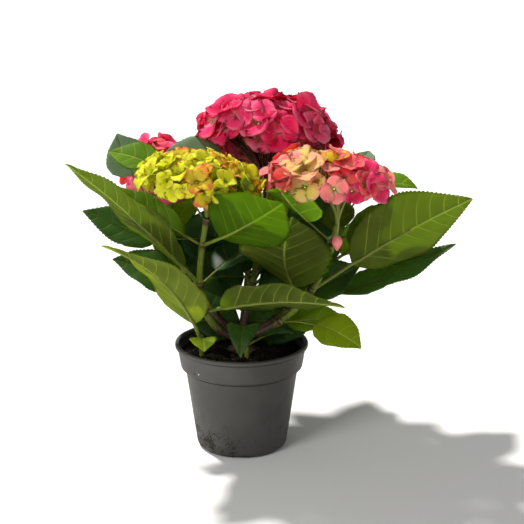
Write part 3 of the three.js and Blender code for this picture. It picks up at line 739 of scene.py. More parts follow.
def plastic_finish(plastic, second, soil, dirt):
    """Thin recycled plastic: mottled grey, fine grain, a dark band under the lip and the collar that is
    partly caught peat dust and partly painted shade, splashed soil low down, most on the left, painted shade
    of a small hole in the collar and a painted glint beside it. Soil is rougher than the plastic and stands
    out."""
    material, g, inputs = new_finish("Pot plastic", 0.55, 0.4)
    base = g.mottle(plastic, second, 17.0)
    x, _, z = g.split(g.place())
    low = g.fall(z, *SPLASH_HEIGHTS)
    left = g.fall(x, *SPLASH_PLACES, 0.25)
    cover = g.times(g.times(low, left), dirt)
    specks = g.plus(g.noise(640.0, 4.0), g.times(g.noise(90.0), 0.7))
    splash = g.step(g.plus(specks, g.times(cover, 0.34)), 1.06, 1.24)
    patchy = g.step(g.noise(120.0, 3.0), 0.26, 0.42)
    # painted shade: the bands under the lip and the collar take the soil colour, partly for caught dust and
    # partly for painted shade
    dust_and_shade_ledges = g.most(near_level(g, z, LIP_LINE, LIP_DUST_AND_SHADE), near_level(g, z, COLLAR_LINE, COLLAR_DUST_AND_SHADE))
    # this mask holds real soil splashes and the bands of dust and painted shade
    soil_and_shade = g.most(splash, g.times(g.times(patchy, dust_and_shade_ledges), 0.85))
    # painted shade: a dark spot of soil colour stands for the shade inside a small hole in the collar
    soil_and_shade = g.most(soil_and_shade, spot(g, HOLE_SHADE_SPOT, 1.5))
    # painted highlight: a pale spot stands for a glint beside the hole
    glinted = g.mix(spot(g, GLINT_SPOT, 1.1), base, colour(GLINT_TONE))
    g.feed(inputs["Base Color"], g.mix(soil_and_shade, glinted, colour(soil)))
    clean = g.plus(0.46, g.times(g.noise(90.0, 4.0), 0.2))
    g.feed(inputs["Roughness"], g.plus(g.times(soil_and_shade, 0.35), clean))
    relief(g, inputs, g.plus(g.times(splash, 0.8), g.times(g.noise(900.0), 0.12)), PLASTIC_RELIEF)
    return material


# ---------------------------------------------------------------- settings


def tint(name, default, description):
    """A colour setting."""
    return FloatVectorProperty(name=name, description=description, default=default, size=3,
                               subtype="COLOR", min=0, max=1)


class PotSettings(bpy.types.PropertyGroup):
    """Sizes and colours of the pot and what fills it."""

    wall: FloatProperty(name="Wall", description="Thickness of the pot's wall", default=POT_WALL * MM,
                        unit="LENGTH")
    plastic: tint("Plastic", (0.044, 0.043, 0.04), "The pot's grey")
    second: tint("Faded plastic", (0.062, 0.06, 0.056), "The grey of its paler patches")
    soil: tint("Soil", (0.016, 0.012, 0.007), "Splashed soil and the darker crumbs")
    peat: tint("Peat", (0.009, 0.007, 0.005), "The moist mix")
    fibre: tint("Fibre", (0.05, 0.03, 0.016), "Paler crumbs and fibres in the mix")
    dirt: FloatProperty(name="Dirt", description="How much soil is splashed on the pot", default=1.0,
                        min=0, max=2)


class LeafSettings(bpy.types.PropertyGroup):
    """Sizes and colours of the stems and leaves."""

    thickness: FloatProperty(name="Blade", description="Thickness of a blade", default=0.42 * MM,
                             unit="LENGTH")
    tooth: FloatProperty(name="Tooth", description="Depth of a tooth on a large leaf", default=1.8 * MM,
                         unit="LENGTH")
    deep: tint("Deep green", (0.01, 0.036, 0.008), "Old leaves, upper side")
    mid: tint("Mid green", (0.036, 0.092, 0.001), "Full leaves, upper side")
    bright: tint("Bright green", (0.06, 0.16, 0.001), "Newer leaves, upper side")
    young: tint("Young green", (0.2, 0.3, 0.012), "The youngest leaves, upper side")
    glaucous: tint("Glaucous", (0.13, 0.21, 0.12), "Bloomed leaves, upper side")
    under: tint("Underside", (0.048, 0.062, 0.009), "Lower side of every leaf")
    vein: tint("Vein", (0.34, 0.42, 0.08), "Veins")
    stem: tint("Stem", (0.12, 0.16, 0.018), "Green stems and leaf stalks")
    node: tint("Node", (0.05, 0.02, 0.012), "The dark flush at the nodes")
    bark: tint("Bark", (0.13, 0.085, 0.045), "The woody crown")


class FlowerSettings(bpy.types.PropertyGroup):
    """Sizes and colours of the flower heads."""

    thickness: FloatProperty(name="Sepal", description="Thickness of a sepal", default=0.3 * MM,
                             unit="LENGTH")
    crimson: tint("Crimson", (0.92, 0.016, 0.16), "Full florets of the large head")
    rose: tint("Rose", (1.0, 0.07, 0.27), "Lighter florets")
    pink: tint("Pink", (0.98, 0.17, 0.34), "Palest florets of the large head")
    coral: tint("Coral", (1.0, 0.21, 0.18), "Warm florets")
    blush: tint("Blush", (1.0, 0.4, 0.33), "Palest florets of the other heads")
    lime: tint("Lime", (0.82, 0.84, 0.02), "Young florets")
    green: tint("Green", (0.34, 0.44, 0.03), "The youngest florets")
    cream: tint("Cream", (0.86, 0.76, 0.2), "Florets between green and pink")
    flush: tint("Flush", (0.9, 0.14, 0.1), "Tips of florets that turn from lime to pink")
    heart: tint("Heart", (0.8, 0.5, 0.35), "Middle of a floret")


class StageSettings(bpy.types.PropertyGroup):
    """The floor, the lights and the camera."""

    floor: tint("Floor", (0.86, 0.86, 0.86), "The pale floor")
    key: FloatProperty(name="Key", description="Strength of the light above and behind", default=4.6)
    fill: FloatProperty(name="Fill", description="Power of the light in front", default=17.0)
    sky: FloatProperty(name="Surround", description="Strength of the even light all round", default=0.3)
    lens: FloatProperty(name="Lens", description="Focal length in millimetres", default=80.0)


def ride(piece, slot, *nodes):
    """Every piece is part of the one rigid body, and stands for the frame's nodes that it dresses."""
    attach(piece, "root")
    if nodes:
        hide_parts(*nodes)


# ---------------------------------------------------------------- pot and peat


PROFILE_STEP = 3.0                 # longest stretch of the pot's section
POT_SIDES = 216
SLOT_EDGE = 0.5                    # a drainage slot's sides and end are eased by these
SLOT_END = 0.8
UNROUND = 0.25                     # how far the rim is out of round
UNROUND_FROM = 60                  # the height at which that starts
UNROUND_TURN = 0.6                 # where its long way lies, in radians
SOIL_SIDES = 160
SOIL_RINGS = 59
SOIL_FALL = 3                      # from the middle of the mix to the wall
SOIL_FALL_FROM = 34                # the radii that it falls between
SOIL_FALL_TO = 63
SOIL_SETTLED = 0.6
SOIL_UP_COLLAR = 0.6               # where on the collar's taper the mix ends
SOIL_LUMPS = ((15, 3, 1.1), (5, 4, 0.5))         # wavelength, seed and height
CRUMBS = 1500
CRUMB_SIDES = 6
CRUMB_STATIONS = np.array([-0.5, -0.3, 0.1, 0.42, 0.5])
CRUMB_SWELL = np.array([0.45, 0.95, 1.0, 0.7, 0.3])
CRUMB_UNEVEN = 0.18                # of its length
FIBRE_SHARE = 0.14                 # of all crumbs
FIBRE_RADIUS = 0.22
PALE_SHARE = 0.2


def pot_profile(wall):
    """The pot's section, from the middle of its underside round to the middle of its floor inside:
    (radius, height, rounding) corners."""
    return rounded([
        (AXIS_GAP, 0, 0),
        (BASE_RADIUS - BASE_ROUNDING - 1, 0, 0.4),
        (BASE_RADIUS, 0, BASE_ROUNDING - 1),
        (BODY_TOP, COLLAR_LEVEL - 1, 0.8),
        (COLLAR_FOOT, COLLAR_LEVEL + STEP_SLOPE, 1.2),
        (COLLAR_TOP, LIP_LEVEL, 0.7),
        (POT_RIM, LIP_LEVEL, 0.9),
        (POT_RIM, POT_HEIGHT, 1.6),
        (COLLAR_TOP - wall, POT_HEIGHT, 1.0),
        (COLLAR_FOOT - wall, COLLAR_LEVEL + STEP_SLOPE, 1.2),
        (BODY_TOP - wall, COLLAR_LEVEL, 0.8),
        (BASE_RADIUS - wall, wall, BASE_ROUNDING - wall),
        (AXIS_GAP, wall, 0),
    ])


def refined(points, longest):
    """A profile with every stretch cut into pieces no longer than longest."""
    pieces = []
    for a, b in zip(points[:-1], points[1:]):
        count = max(1, int(np.ceil(np.linalg.norm(b - a) / longest)))
        pieces.append(a + (b - a) * np.arange(count)[:, None] / count)
    return np.concatenate(pieces + [points[-1:]])


def turned(profile, sides):
    """A profile turned about the upright axis: points (steps, sides, 3), each its radius from the
    axis, and the angle of each side."""
    angle = np.arange(sides) / sides * 2 * np.pi
    ring = np.stack([np.cos(angle), np.sin(angle)], 1)
    flat = profile[:, None, :1] * ring[None]
    height = np.broadcast_to(profile[:, None, 1:], (len(profile), sides, 1))
    return np.concatenate([flat, height], 2), angle


def add_turned(surface, points):
    """A turned surface whose profile starts and ends by the axis, closed at both."""
    steps, sides, _ = points.shape
    surface.add(points * MM, capped_faces(steps, sides))


def make_pot(settings):
    """The pot, turned, with a drainage slot at each sixth of its base: there the underside and the
    foot of the wall rise by the slot's height. Towards its rim it is a little out of round."""
    profile = refined(pot_profile(settings.wall / MM), PROFILE_STEP)
    points, angle = turned(profile, POT_SIDES)
    sector = 2 * np.pi / DRAIN_SLOTS
    from_middle = (angle + np.pi / 2 + sector / 2) % sector - sector / 2
    along = np.abs(from_middle) * BASE_RADIUS
    notch = ease(along, DRAIN_WIDTH / 2 + SLOT_EDGE, DRAIN_WIDTH / 2 - SLOT_EDGE)
    outside = np.arange(len(profile)) < len(profile) / 2
    end = BASE_RADIUS - DRAIN_DEPTH
    reach = ease(profile[:, 0], end - SLOT_END, end + SLOT_END)
    lift = np.clip(DRAIN_HEIGHT - profile[:, 1], 0, None) * reach * outside
    points[..., 2] += lift[:, None] * notch
    unround = UNROUND / POT_RIM * ease(profile[:, 1], UNROUND_FROM, POT_HEIGHT)
    points[..., :2] *= 1 + (unround[:, None] * np.cos(2 * angle + UNROUND_TURN))[..., None]
    surface = Surface()
    add_turned(surface, points)
    plastic = plastic_finish(settings.plastic, settings.second, settings.soil, settings.dirt)
    ride(surface.build("pot_shell", [plastic]), "pot_plastic", "pot")


def soil_height(radius, points):
    """The top of the mix: it falls to the wall, with lumps of two sizes."""
    crown = SOIL_TOP - SOIL_SETTLED - SOIL_FALL * ease(radius, SOIL_FALL_FROM, SOIL_FALL_TO)
    return crown + sum(height * ripple(points, wavelength, seed) for wavelength, seed, height in SOIL_LUMPS)


def make_peat(settings):
    """The mix as a turned body with a lumpy top, strewn with crumbs and fibres."""
    wall = settings.wall / MM + GAP
    edge = COLLAR_FOOT + COLLAR_TAPER * SOIL_UP_COLLAR - wall
    outline = refined(np.array([
        (AXIS_GAP, wall),
        (BASE_RADIUS - BASE_ROUNDING, wall),
        (BASE_RADIUS - wall, BASE_ROUNDING),
        (BODY_TOP - wall, COLLAR_LEVEL + GAP),
        (COLLAR_FOOT - wall, COLLAR_LEVEL + STEP_SLOPE + GAP),
        (edge, SOIL_TOP - SOIL_FALL),
    ]), 4 * PROFILE_STEP)
    disc = np.stack([np.linspace(edge, AXIS_GAP, SOIL_RINGS + 1)[1:], np.full(SOIL_RINGS, SOIL_TOP)], 1)
    points, _ = turned(np.concatenate([outline, disc]), SOIL_SIDES)
    upper = slice(len(outline), None)
    flat = points[upper] * (1, 1, 0)
    points[upper, :, 2] = soil_height(np.linalg.norm(flat, axis=2), flat)
    surface = Surface()
    add_turned(surface, points)
    dark = peat_finish("Peat", settings.peat, settings.soil)
    pale = peat_finish("Peat fibre", settings.fibre, settings.peat)
    ride(surface.build("peat_bed", [dark]), "potting_mix", "potting_mix")
    strew_crumbs(edge - 2, [dark, pale])


def strew_crumbs(reach, finishes):
    """Crumbs and fibres on the mix: short tubes that swell in the middle, evenly spread over a disc,
    each in a direction of its own and pushed a little out of shape."""
    k = np.arange(CRUMBS)
    radius = reach * np.sqrt(chance(k + 11))
    around = 2 * np.pi * chance(k + 1711)
    foot = np.stack([radius * np.cos(around), radius * np.sin(around), 0 * radius], 1)
    foot[:, 2] = soil_height(radius, foot) + 0.2
    heading = unit(np.stack([chance(k + 31), chance(k + 61), 0.5 * chance(k + 91)], 1) - (0.5, 0.5, 0.15))
    fibre = chance(k + 401) > 1 - FIBRE_SHARE
    long = np.where(fibre, between(4, 13, k + 501), 0.8 + 2.2 * chance(k + 601) ** 2)
    thick = np.where(fibre, FIBRE_RADIUS, long * between(0.35, 0.6, k + 701))
    paths = foot[:, None] + heading[:, None] * (long[:, None] * CRUMB_STATIONS)[..., None]
    steps = len(CRUMB_STATIONS)
    push = chance(k[:, None, None] * 3 + np.arange(3 * steps).reshape(steps, 3)) - 0.5
    paths += CRUMB_UNEVEN * long[:, None, None] * push
    pale = (chance(k + 801) > 1 - PALE_SHARE).astype(int)
    faces_each = (steps - 1) * CRUMB_SIDES + CRUMB_SIDES - 2
    crumbs = Surface()
    add_tubes(crumbs, paths * MM, thick[:, None] * CRUMB_SWELL * MM, CRUMB_SIDES,
              finish=np.repeat(pale, faces_each))
    ride(crumbs.build("peat_crumbs", finishes), "potting_mix")


# ---------------------------------------------------------------- stems

STEM_SIDES = 16
STEM_STEPS = 150
STEM_WANDER = 0.35                 # how far a stem strays from its curve
STEM_WANDER_LENGTH = 46
NODE_SWELL = 0.9
NODE_REACH = 0.016                 # of the shoot's length
RING_ABOVE = 0.02                  # from the node to the tight ring above it
RING_REACH = 0.004
RING_DEPTH = 0.35
FLUSHED_FOOT = (0.34, 0.1)         # the foot of a shoot flushes from the first share down to the second
USUAL_BLADE = 120                  # the blade whose stalk has the radii that follow
STALK_SIDES = 10
STALK_RADIUS = 1.75
STALK_FOOT = 0.9                   # how much more it has at its foot
STALK_FOOT_REACH = 6
STALK_FLUSH_REACH = 7
STALK_SUNK = 0.75                  # how far it lies beneath the blade, of its radius
STALK_FADE = 1.35                  # how much less at the end of the midrib
STALK_LEAST = 0.35
MIDRIB_SHARE = 0.5                 # how far along the blade the stalk runs on
KNUCKLE_JOIN = 0.9                 # radians below the knuckle's middle, where the neck meets it
CROWN_SIDES = 120
CROWN_STEPS = 40                   # up the flare, and again up the knuckle
FLARE_POWER = 2.2
BARK_RIDGES = ((9, 0.35), (23, 0.25))            # how many round the crown, and their height
BARK_LUMPS = ((7, 21, 0.8), (2.6, 22, 0.45))     # wavelength, seed and height


def shoot_points(shoot):
    """Foot, knee and top of a shoot's curve; the foot lies a little inside the knuckle."""
    azimuth, lift = np.radians(shoot["foot"])
    reach = KNUCKLE - FOOT_SUNK
    foot = (reach * np.cos(lift) * np.cos(azimuth), reach * np.cos(lift) * np.sin(azimuth),
            CROWN_LEVEL + reach * np.sin(lift))
    return foot, shoot["knee"], shoot["top"]


def leaves_of(name):
    """Every leaf of a shoot, the inner ones too."""
    shoot = SHOOTS.get(name) or BASAL_SHOOTS[name]
    return shoot["leaves"] + INNER_LEAVES.get(name, [])


def leaf_root(name, leaf):
    """Where a leaf leaves its shoot."""
    if name in SHOOTS:
        return bezier(shoot_points(SHOOTS[name]), leaf[0])
    shoot = BASAL_SHOOTS[name]
    return np.array([*shoot["at"], SOIL_TOP + GAP + leaf[0] * shoot["height"]])


class LeafLine:
    """The middle line of a leaf, stalk and blade together. Its heading turns from rise to rise + bend,
    more towards the tip, and sweeps sideways; its place is the running sum of the heading."""

    STEPS = 60
    BEND_POWER = 1.3
    USUAL_BEND = -30
    USUAL_WIDTH = 0.6              # of the blade's length
    USUAL_STALK = 0.28             # of the blade's length

    def __init__(self, root, leaf):
        _, self.azimuth, self.rise, options = leaf
        self.blade = options["blade"]
        self.bend = options.get("bend", self.USUAL_BEND)
        self.sweep = options.get("sweep", 0)
        self.roll = np.radians(options.get("roll", 0))
        self.width = options.get("width", self.USUAL_WIDTH * self.blade)
        petiole = options.get("petiole", self.USUAL_STALK * self.blade)
        self.length = petiole + self.blade
        self.start = petiole / self.length
        middles = (np.arange(self.STEPS) + 0.5) / self.STEPS
        steps = self.heading(middles)[0] * self.length / self.STEPS
        self.places = np.vstack([root, root + np.cumsum(steps, 0)])

    def heading(self, share):
        """The way ahead at shares of the whole length, and the level way to its left."""
        tilt = np.radians(self.rise + self.bend * share ** self.BEND_POWER)
        turn = np.radians(self.azimuth + self.sweep * share)
        level = np.stack([-np.sin(turn), np.cos(turn), 0 * turn], -1)
        ahead = np.stack([np.cos(tilt) * np.cos(turn), np.cos(tilt) * np.sin(turn), np.sin(tilt)], -1)
        return ahead, level

    def at(self, share):
        """Place, heading, side and normal at shares of the whole length."""
        fine = np.linspace(0, 1, self.STEPS + 1)
        place = np.stack([np.interp(share, fine, self.places[:, i]) for i in range(3)], -1)
        ahead, level = self.heading(share)
        above = np.cross(ahead, level)
        side = level * np.cos(self.roll) + above * np.sin(self.roll)
        normal = above * np.cos(self.roll) - level * np.sin(self.roll)
        return place, ahead, side, normal


def add_petioles(surface, name):
    """Leaf stalks: tubes along the leaf's line, thick and flushed at the foot, that run on under the
    blade as its midrib and fade out there."""
    share = np.linspace(0, 1, 26)
    for leaf in leaves_of(name):
        line = LeafLine(leaf_root(name, leaf), leaf)
        along = share * (line.start + (1 - line.start) * MIDRIB_SHARE)
        from_foot = along * line.length
        place, _, _, normal = line.at(along)
        size = np.clip(line.blade / USUAL_BLADE, 0.55, 1.15)
        fade = STALK_FADE * ease(along, line.start * 0.8, 1) ** 0.6
        radius = size * (STALK_RADIUS + STALK_FOOT * np.exp(-from_foot / STALK_FOOT_REACH) - fade)
        under_blade = ease(along, line.start * 0.96, line.start * 1.1 + 0.03)
        place = place - normal * (under_blade * STALK_SUNK * radius)[:, None]
        radius = np.clip(radius, STALK_LEAST, None)
        flush = np.exp(-(from_foot / STALK_FLUSH_REACH) ** 2)
        add_tubes(surface, place[None] * MM, radius[None] * MM, STALK_SIDES, value=flush[None])


def shoot_form(shoot, share):
    """The radius and the flush of a shoot: it tapers from foot to top and swells at its nodes, with a
    tight ring above each."""
    nodes = np.array([leaf[0] for leaf in shoot["leaves"]])
    off = share[:, None] - nodes
    swell = np.exp(-(off / NODE_REACH) ** 2).max(1)
    ring = np.exp(-((off - RING_ABOVE) / RING_REACH) ** 2).max(1)
    taper = SHOOT_FOOT + (SHOOT_TOP - SHOOT_FOOT) * share
    flush = np.maximum(np.maximum(swell * 0.75, ring), 0.8 * ease(share, *FLUSHED_FOOT))
    return taper + NODE_SWELL * swell - RING_DEPTH * ring, flush


def add_shoot(surface, shoot):
    """The stem of a shoot, from the crown to where its flower stalks fork."""
    share = np.linspace(0, shoot["fork"], STEM_STEPS)
    radius, flush = shoot_form(shoot, share)
    path = bezier(shoot_points(shoot), share)
    stray = [ripple(path, STEM_WANDER_LENGTH, seed) for seed in (7, 8)]
    path = path + STEM_WANDER * np.stack([*stray, 0 * share], 1)
    add_tubes(surface, path[None] * MM, radius[None] * MM, STEM_SIDES, value=flush[None])


def add_basal_shoot(surface, shoot):
    """The short upright stem of a basal shoot, which starts in the mix."""
    share = np.linspace(0, 1, 20)
    height = SOIL_TOP - 1 + share * (shoot["height"] + 1)
    x, y = shoot["at"]
    path = np.stack([x + 0 * share, y + 0 * share, height], 1)
    radius = SHOOT_TOP * (1.05 - 0.5 * share ** 6)
    flush = 0.6 * np.exp(-share * 9)
    add_tubes(surface, path[None] * MM, radius[None] * MM, STEM_SIDES - 2, value=flush[None])


def make_stems(settings):
    """One piece for each shoot: its stem and the stalks of its leaves."""
    second = np.array(settings.stem) * (1.35, 1.25, 1)
    finishes = [stem_finish("Green stem", settings.stem, second, settings.node)]
    for name in (*SHOOTS, *BASAL_SHOOTS):
        surface = Surface()
        if name in SHOOTS:
            add_shoot(surface, SHOOTS[name])
        else:
            add_basal_shoot(surface, BASAL_SHOOTS[name])
        add_petioles(surface, name)
        piece = surface.build(f"stem_{name}", finishes, attribute="Flush")
        ride(piece, "green_stem", *([f"bough_{name}"] if name in SHOOTS else []))


def make_crown(settings):
    """The woody crown: a turned outline of flare, waist and knuckle, pushed in and out by upright
    ridges and small lumps, as bark is."""
    foot = SOIL_TOP + GAP
    rise = np.linspace(0, 1, CROWN_STEPS)
    ball = np.linspace(-KNUCKLE_JOIN, np.pi / 2 - 0.03, CROWN_STEPS)
    flare = CROWN_WAIST + (CROWN_FOOT - CROWN_WAIST) * (1 - rise) ** FLARE_POWER
    neck = CROWN_LEVEL - KNUCKLE * np.sin(KNUCKLE_JOIN)
    lower = np.stack([flare, foot + (neck - foot) * rise], 1)
    upper = np.stack([KNUCKLE * np.cos(ball), CROWN_LEVEL + KNUCKLE * np.sin(ball)], 1)
    profile = np.concatenate([[(0.3, foot)], lower, upper])
    points, angle = turned(profile, CROWN_SIDES)
    bent = [angle + np.sin(2 * angle) / 3, angle]
    ridges = sum(height * np.sin(count * turn) for (count, height), turn in zip(BARK_RIDGES, bent))
    lumps = sum(height * ripple(points, wavelength, seed) for wavelength, seed, height in BARK_LUMPS)
    inward = ease(profile[:, 0], 0.5, 6)[:, None]
    push = (ridges + lumps) * inward / np.maximum(profile[:, :1], 1)
    points[..., :2] *= (1 + push)[..., None]
    surface = Surface()
    add_turned(surface, points)
    bark = bark_finish(settings.bark, np.array(settings.bark) * 0.35)
    ride(surface.build("crown_wood", [bark]), "woody_stem", "main_stem")


# ---------------------------------------------------------------- leaves

VEIN_SPACING = 16
TEETH_TO_A_VEIN = 3
TOOTH_ROWS = np.array([0, 0.4, 0.8])             # a tooth's foot, middle and point, of its length
BLADE_ACROSS = np.linspace(-1, 1, 21)
BLADE_COLUMNS = np.sign(BLADE_ACROSS) * np.abs(BLADE_ACROSS) ** 1.35
FORWARD = 0.32                     # how far forward a side vein runs, of the blade's length
VEIN_CURVE = 1.15
LARGE_BLADE = 140                  # the blade whose folds and ribs have the sizes that follow
CUP = np.tan(np.radians(14))       # how steeply its halves rise from the midrib
GROOVE, GROOVE_REACH = 0.5, 1.6    # depth and half width, over the midrib
RIB, RIB_REACH = 1.0, 1.3          # height and half width of the midrib beneath
SIDE_RIB, SIDE_RIB_REACH = 0.32, 0.9
WAVES = 2.3                        # along each edge
WAVE_HEIGHT = 0.018                # of the blade's length


def outline(share):
    """Half width of a blade, of the most: round foot, widest below the middle, drawn-out tip."""
    swell = np.sin(np.pi * np.clip(share, 0, 1) ** 0.8) ** 0.78
    return swell * (1 - 0.3 * ease(share, 0.7, 1))


def blade_lift(share, off, across, count, blade, quilt, seed):
    """The height of a blade over its level middle. It rises to its edges, bulges by quilt between
    side veins, waves along its edges and has a groove over the midrib."""
    size = np.sqrt(blade / LARGE_BLADE)
    cup = np.abs(across) * CUP * (1 - 0.3 * off ** 2)
    bulge = np.abs(np.sin(np.pi * count)) ** 0.8 * off ** 0.5 * (1 - off ** 4) * ease(share, 0, 0.12)
    phase = 2 * np.pi * chance(seed) + 1.9 * np.sign(across)
    wave = np.sin(2 * np.pi * WAVES * share + phase) * off ** 2.2 * np.sin(np.pi * share)
    groove = np.exp(-(across / GROOVE_REACH) ** 2)
    return cup + quilt * size * bulge + WAVE_HEIGHT * blade * wave - GROOVE * size * groove


def rib_height(share, off, across, from_vein, size):
    """How far the midrib and the side veins stand out beneath a blade."""
    rib = RIB * size * (1 - 0.8 * share) * np.exp(-(across / (RIB_REACH * size)) ** 2)
    side_rib = SIDE_RIB * size * np.exp(-(from_vein / SIDE_RIB_REACH) ** 2) * (1 - off) ** 0.4
    return np.maximum(rib, side_rib)


def add_blade(surface, line, look, settings, seed):
    """A blade. Its rows leave the midrib at a share s0 of its length and run forwards, as side veins
    do, to s = s0 + f e (1 - s0) |v|^c, where v runs from edge to edge, f is FORWARD, c is VEIN_CURVE
    and e eases them in from the foot. A point lies v times the outline at s to the side, and the
    edge steps out in teeth that point forwards."""
    veins = max(3, round(line.blade / VEIN_SPACING))
    teeth = TEETH_TO_A_VEIN * veins
    start = np.append((np.arange(teeth)[:, None] + TOOTH_ROWS).ravel() / teeth, 1)[:, None]
    v = BLADE_COLUMNS[None]
    off = np.abs(v)
    share = start + FORWARD * ease(start, 0, 0.16) * (1 - start) * off ** VEIN_CURVE
    size = np.sqrt(line.blade / LARGE_BLADE)
    point = np.append(np.tile(TOOTH_ROWS / TOOTH_ROWS[-1], teeth), 0)[:, None]
    tooth = point * settings.tooth / MM * size ** 1.8 * off ** 9
    tooth = tooth * ease(share, 0.05, 0.2) * (1 - 0.6 * ease(share, 0.82, 1))
    half = np.maximum(line.width / 2 * outline(share), 0.3)
    across = v * half + np.sign(v) * tooth
    count = start * veins
    lift = blade_lift(share, off, across, count, line.blade, look["quilt"], seed)
    place, _, side, normal = line.at(line.start + (1 - line.start) * share)
    middle = place + side * across[..., None] + normal * lift[..., None]
    from_vein = np.abs((count + 0.5) % 1 - 0.5) * line.blade / veins
    half_thick = settings.thickness / MM / 2
    under = (half_thick + rib_height(share, off, across, from_vein, size)) * MM
    over = np.full(under.shape, half_thick * MM)
    pattern = np.stack(np.broadcast_arrays(count + 0 * v, across / VEIN_SPACING), -1)
    add_shells(surface, middle[None] * MM, over, under, [look["finish"]], pattern[None])


def leaf_finishes(settings):
    """The finishes of the upper and the lower side by look, with the numbers of each in the list.
    Light crosses both sides of a leaf, so it is tinted twice. Some looks are lighter or darker copies of
    others, with painted light or painted shade in their colours."""
    s = settings
    vein = np.array(s.vein)
    under = np.array(s.under)
    bloom = np.array(s.glaucous)
    through, dull, soft = (0.55, 0.72, 0.035), (0.6, 0.75, 0.5), (0.85, 0.92, 0.2)
    # green, how much lighter its patches are, veins, light through, its share, roughness, gloss, quilt
    upper = {
        "deep": (s.deep, 1.9, vein * 0.25, (0.3, 0.5, 0.08), 0.3, 0.44, 0.2, 1.1),
        "mid": (s.mid, 1.7, vein, through, 0.4, 0.5, 0.12, 1.3),
        # painted shade: the next look is mid's upper side, for a leaf in the shade of a flower head; its
        # lower side, below, is a darker, greener copy
        "mid_painted_shade": (s.mid, 1.7, vein, through, 0.4, 0.5, 0.12, 1.3),
        "sunlit": (s.mid, 1.7, vein, (0.62, 0.72, 0.08), 0.55, 0.5, 0.12, 1.3),
        "bright": (s.bright, 1.5, vein * 1.2, through, 0.5, 0.5, 0.12, 1.3),
        # painted light: the next look gives a leaf in the shade of a flower head the young green and paler
        # veins
        "painted_light_green": (s.young, 1.2, vein * 1.8, through, 0.4, 0.5, 0.12, 1.2),
        "young": (s.young, 1.3, vein * 1.8, soft, 0.45, 0.55, 0.15, 0.5),
        "glaucous": (s.glaucous, 1.35, bloom * 1.5, dull, 0.3, 0.7, 0.1, 0.7),
    }
    # green, veins, light through, its share
    lower = {
        "deep": (under, vein * 0.4, (0.35, 0.55, 0.08), 0.35),
        "mid": (under, vein, through, 0.38),
        # painted shade: a darker, greener copy of the underside
        "mid_painted_shade": (under * (0.6, 1.1, 0.1), vein * (0.6, 0.8, 0.2), (0.45, 0.72, 0.02), 0.38),
        "sunlit": (under * 2.9, vein * 1.3, (0.68, 0.76, 0.1), 0.6),
        # painted light: the bright look's lower side is a lighter, greener copy of the underside, which
        # stands in for light on leaves in the shade of the heads
        "bright": (under * (1.25, 1.9, 0.65), vein * 1.4, (0.58, 0.78, 0.06), 0.5),
        # painted light: a far lighter, greener copy of the underside
        "painted_light_green": (under * (3.3, 6.3, 0.8), vein * 2.4, through, 0.4),
        "young": (under * (2.2, 3, 1.3), vein * 1.6, soft, 0.5),
        "glaucous": (bloom * 1.2, bloom * 1.8, dull, 0.3),
    }
    finishes, looks = [], {}
    for name, (green, lighter, veins, light, share, roughness, gloss, quilt) in upper.items():
        pale = np.clip(np.array(green) * lighter, 0, 1)
        looks[name] = dict(finish=(len(finishes), len(finishes) + 1), quilt=quilt)
        finishes.append(blade_finish(
            f"Leaf {name}", green, pale, veins, light, share, roughness, gloss, raised=-1.0))
        green, veins, light, share = lower[name]
        finishes.append(blade_finish(
            f"Underside {name}", green, green * 1.6, veins, light, share, 0.75, 0.06, raised=1.0))
    return finishes, looks


def make_leaves(settings):
    """One piece for each shoot, with all its blades."""
    finishes, looks = leaf_finishes(settings)
    for name in (*SHOOTS, *BASAL_SHOOTS):
        surface = Surface()
        for number, leaf in enumerate(leaves_of(name)):
            line = LeafLine(leaf_root(name, leaf), leaf)
            seed = number * 7.1 + len(name) * 3.3 + leaf[1]
            add_blade(surface, line, looks[leaf[3]["look"]], settings, seed)
        piece = surface.build(f"leaves_{name}", finishes, pattern="BladeMap")
        ride(piece, "leaf", f"foliage_{name}")


# ---------------------------------------------------------------- flower heads

SEPALS = 4
SEPAL_GRID = (7, 5)                # rows from heart to tip, columns from edge to edge
SEPAL_SHAPES = {
    "broad": dict(width=0.68, square=3.4, blunt=0.5, rise=56, tip_rise=-26, trough=0.24),
    "pointed": dict(width=0.64, square=2.1, blunt=0.7, rise=60, tip_rise=-4, trough=0.3),
    "open": dict(width=0.66, square=2.8, blunt=0.6, rise=44, tip_rise=-8, trough=0.18),
}
WIDTH_LEVEL = 1.22                 # makes up for p^0.5 (1 - p^n)^b, which stays well under one
RUFFLE = 0.07                      # of the sepal's length
SEPAL_LAP = 0.5                    # how far a sepal lies over its neighbour, in millimetres
GOLDEN = np.pi * (3 - np.sqrt(5))
HEAD_BELLY = 0.6                   # the depth of a head's lower half, of its upper half's
UNEVEN = 0.66                      # how unevenly florets face
DOME_POWERS = (1.75, 0.54)         # a ball has 2 and 0.5
INNER_COVER = 1.5
INNER_SHRINK = 0.78


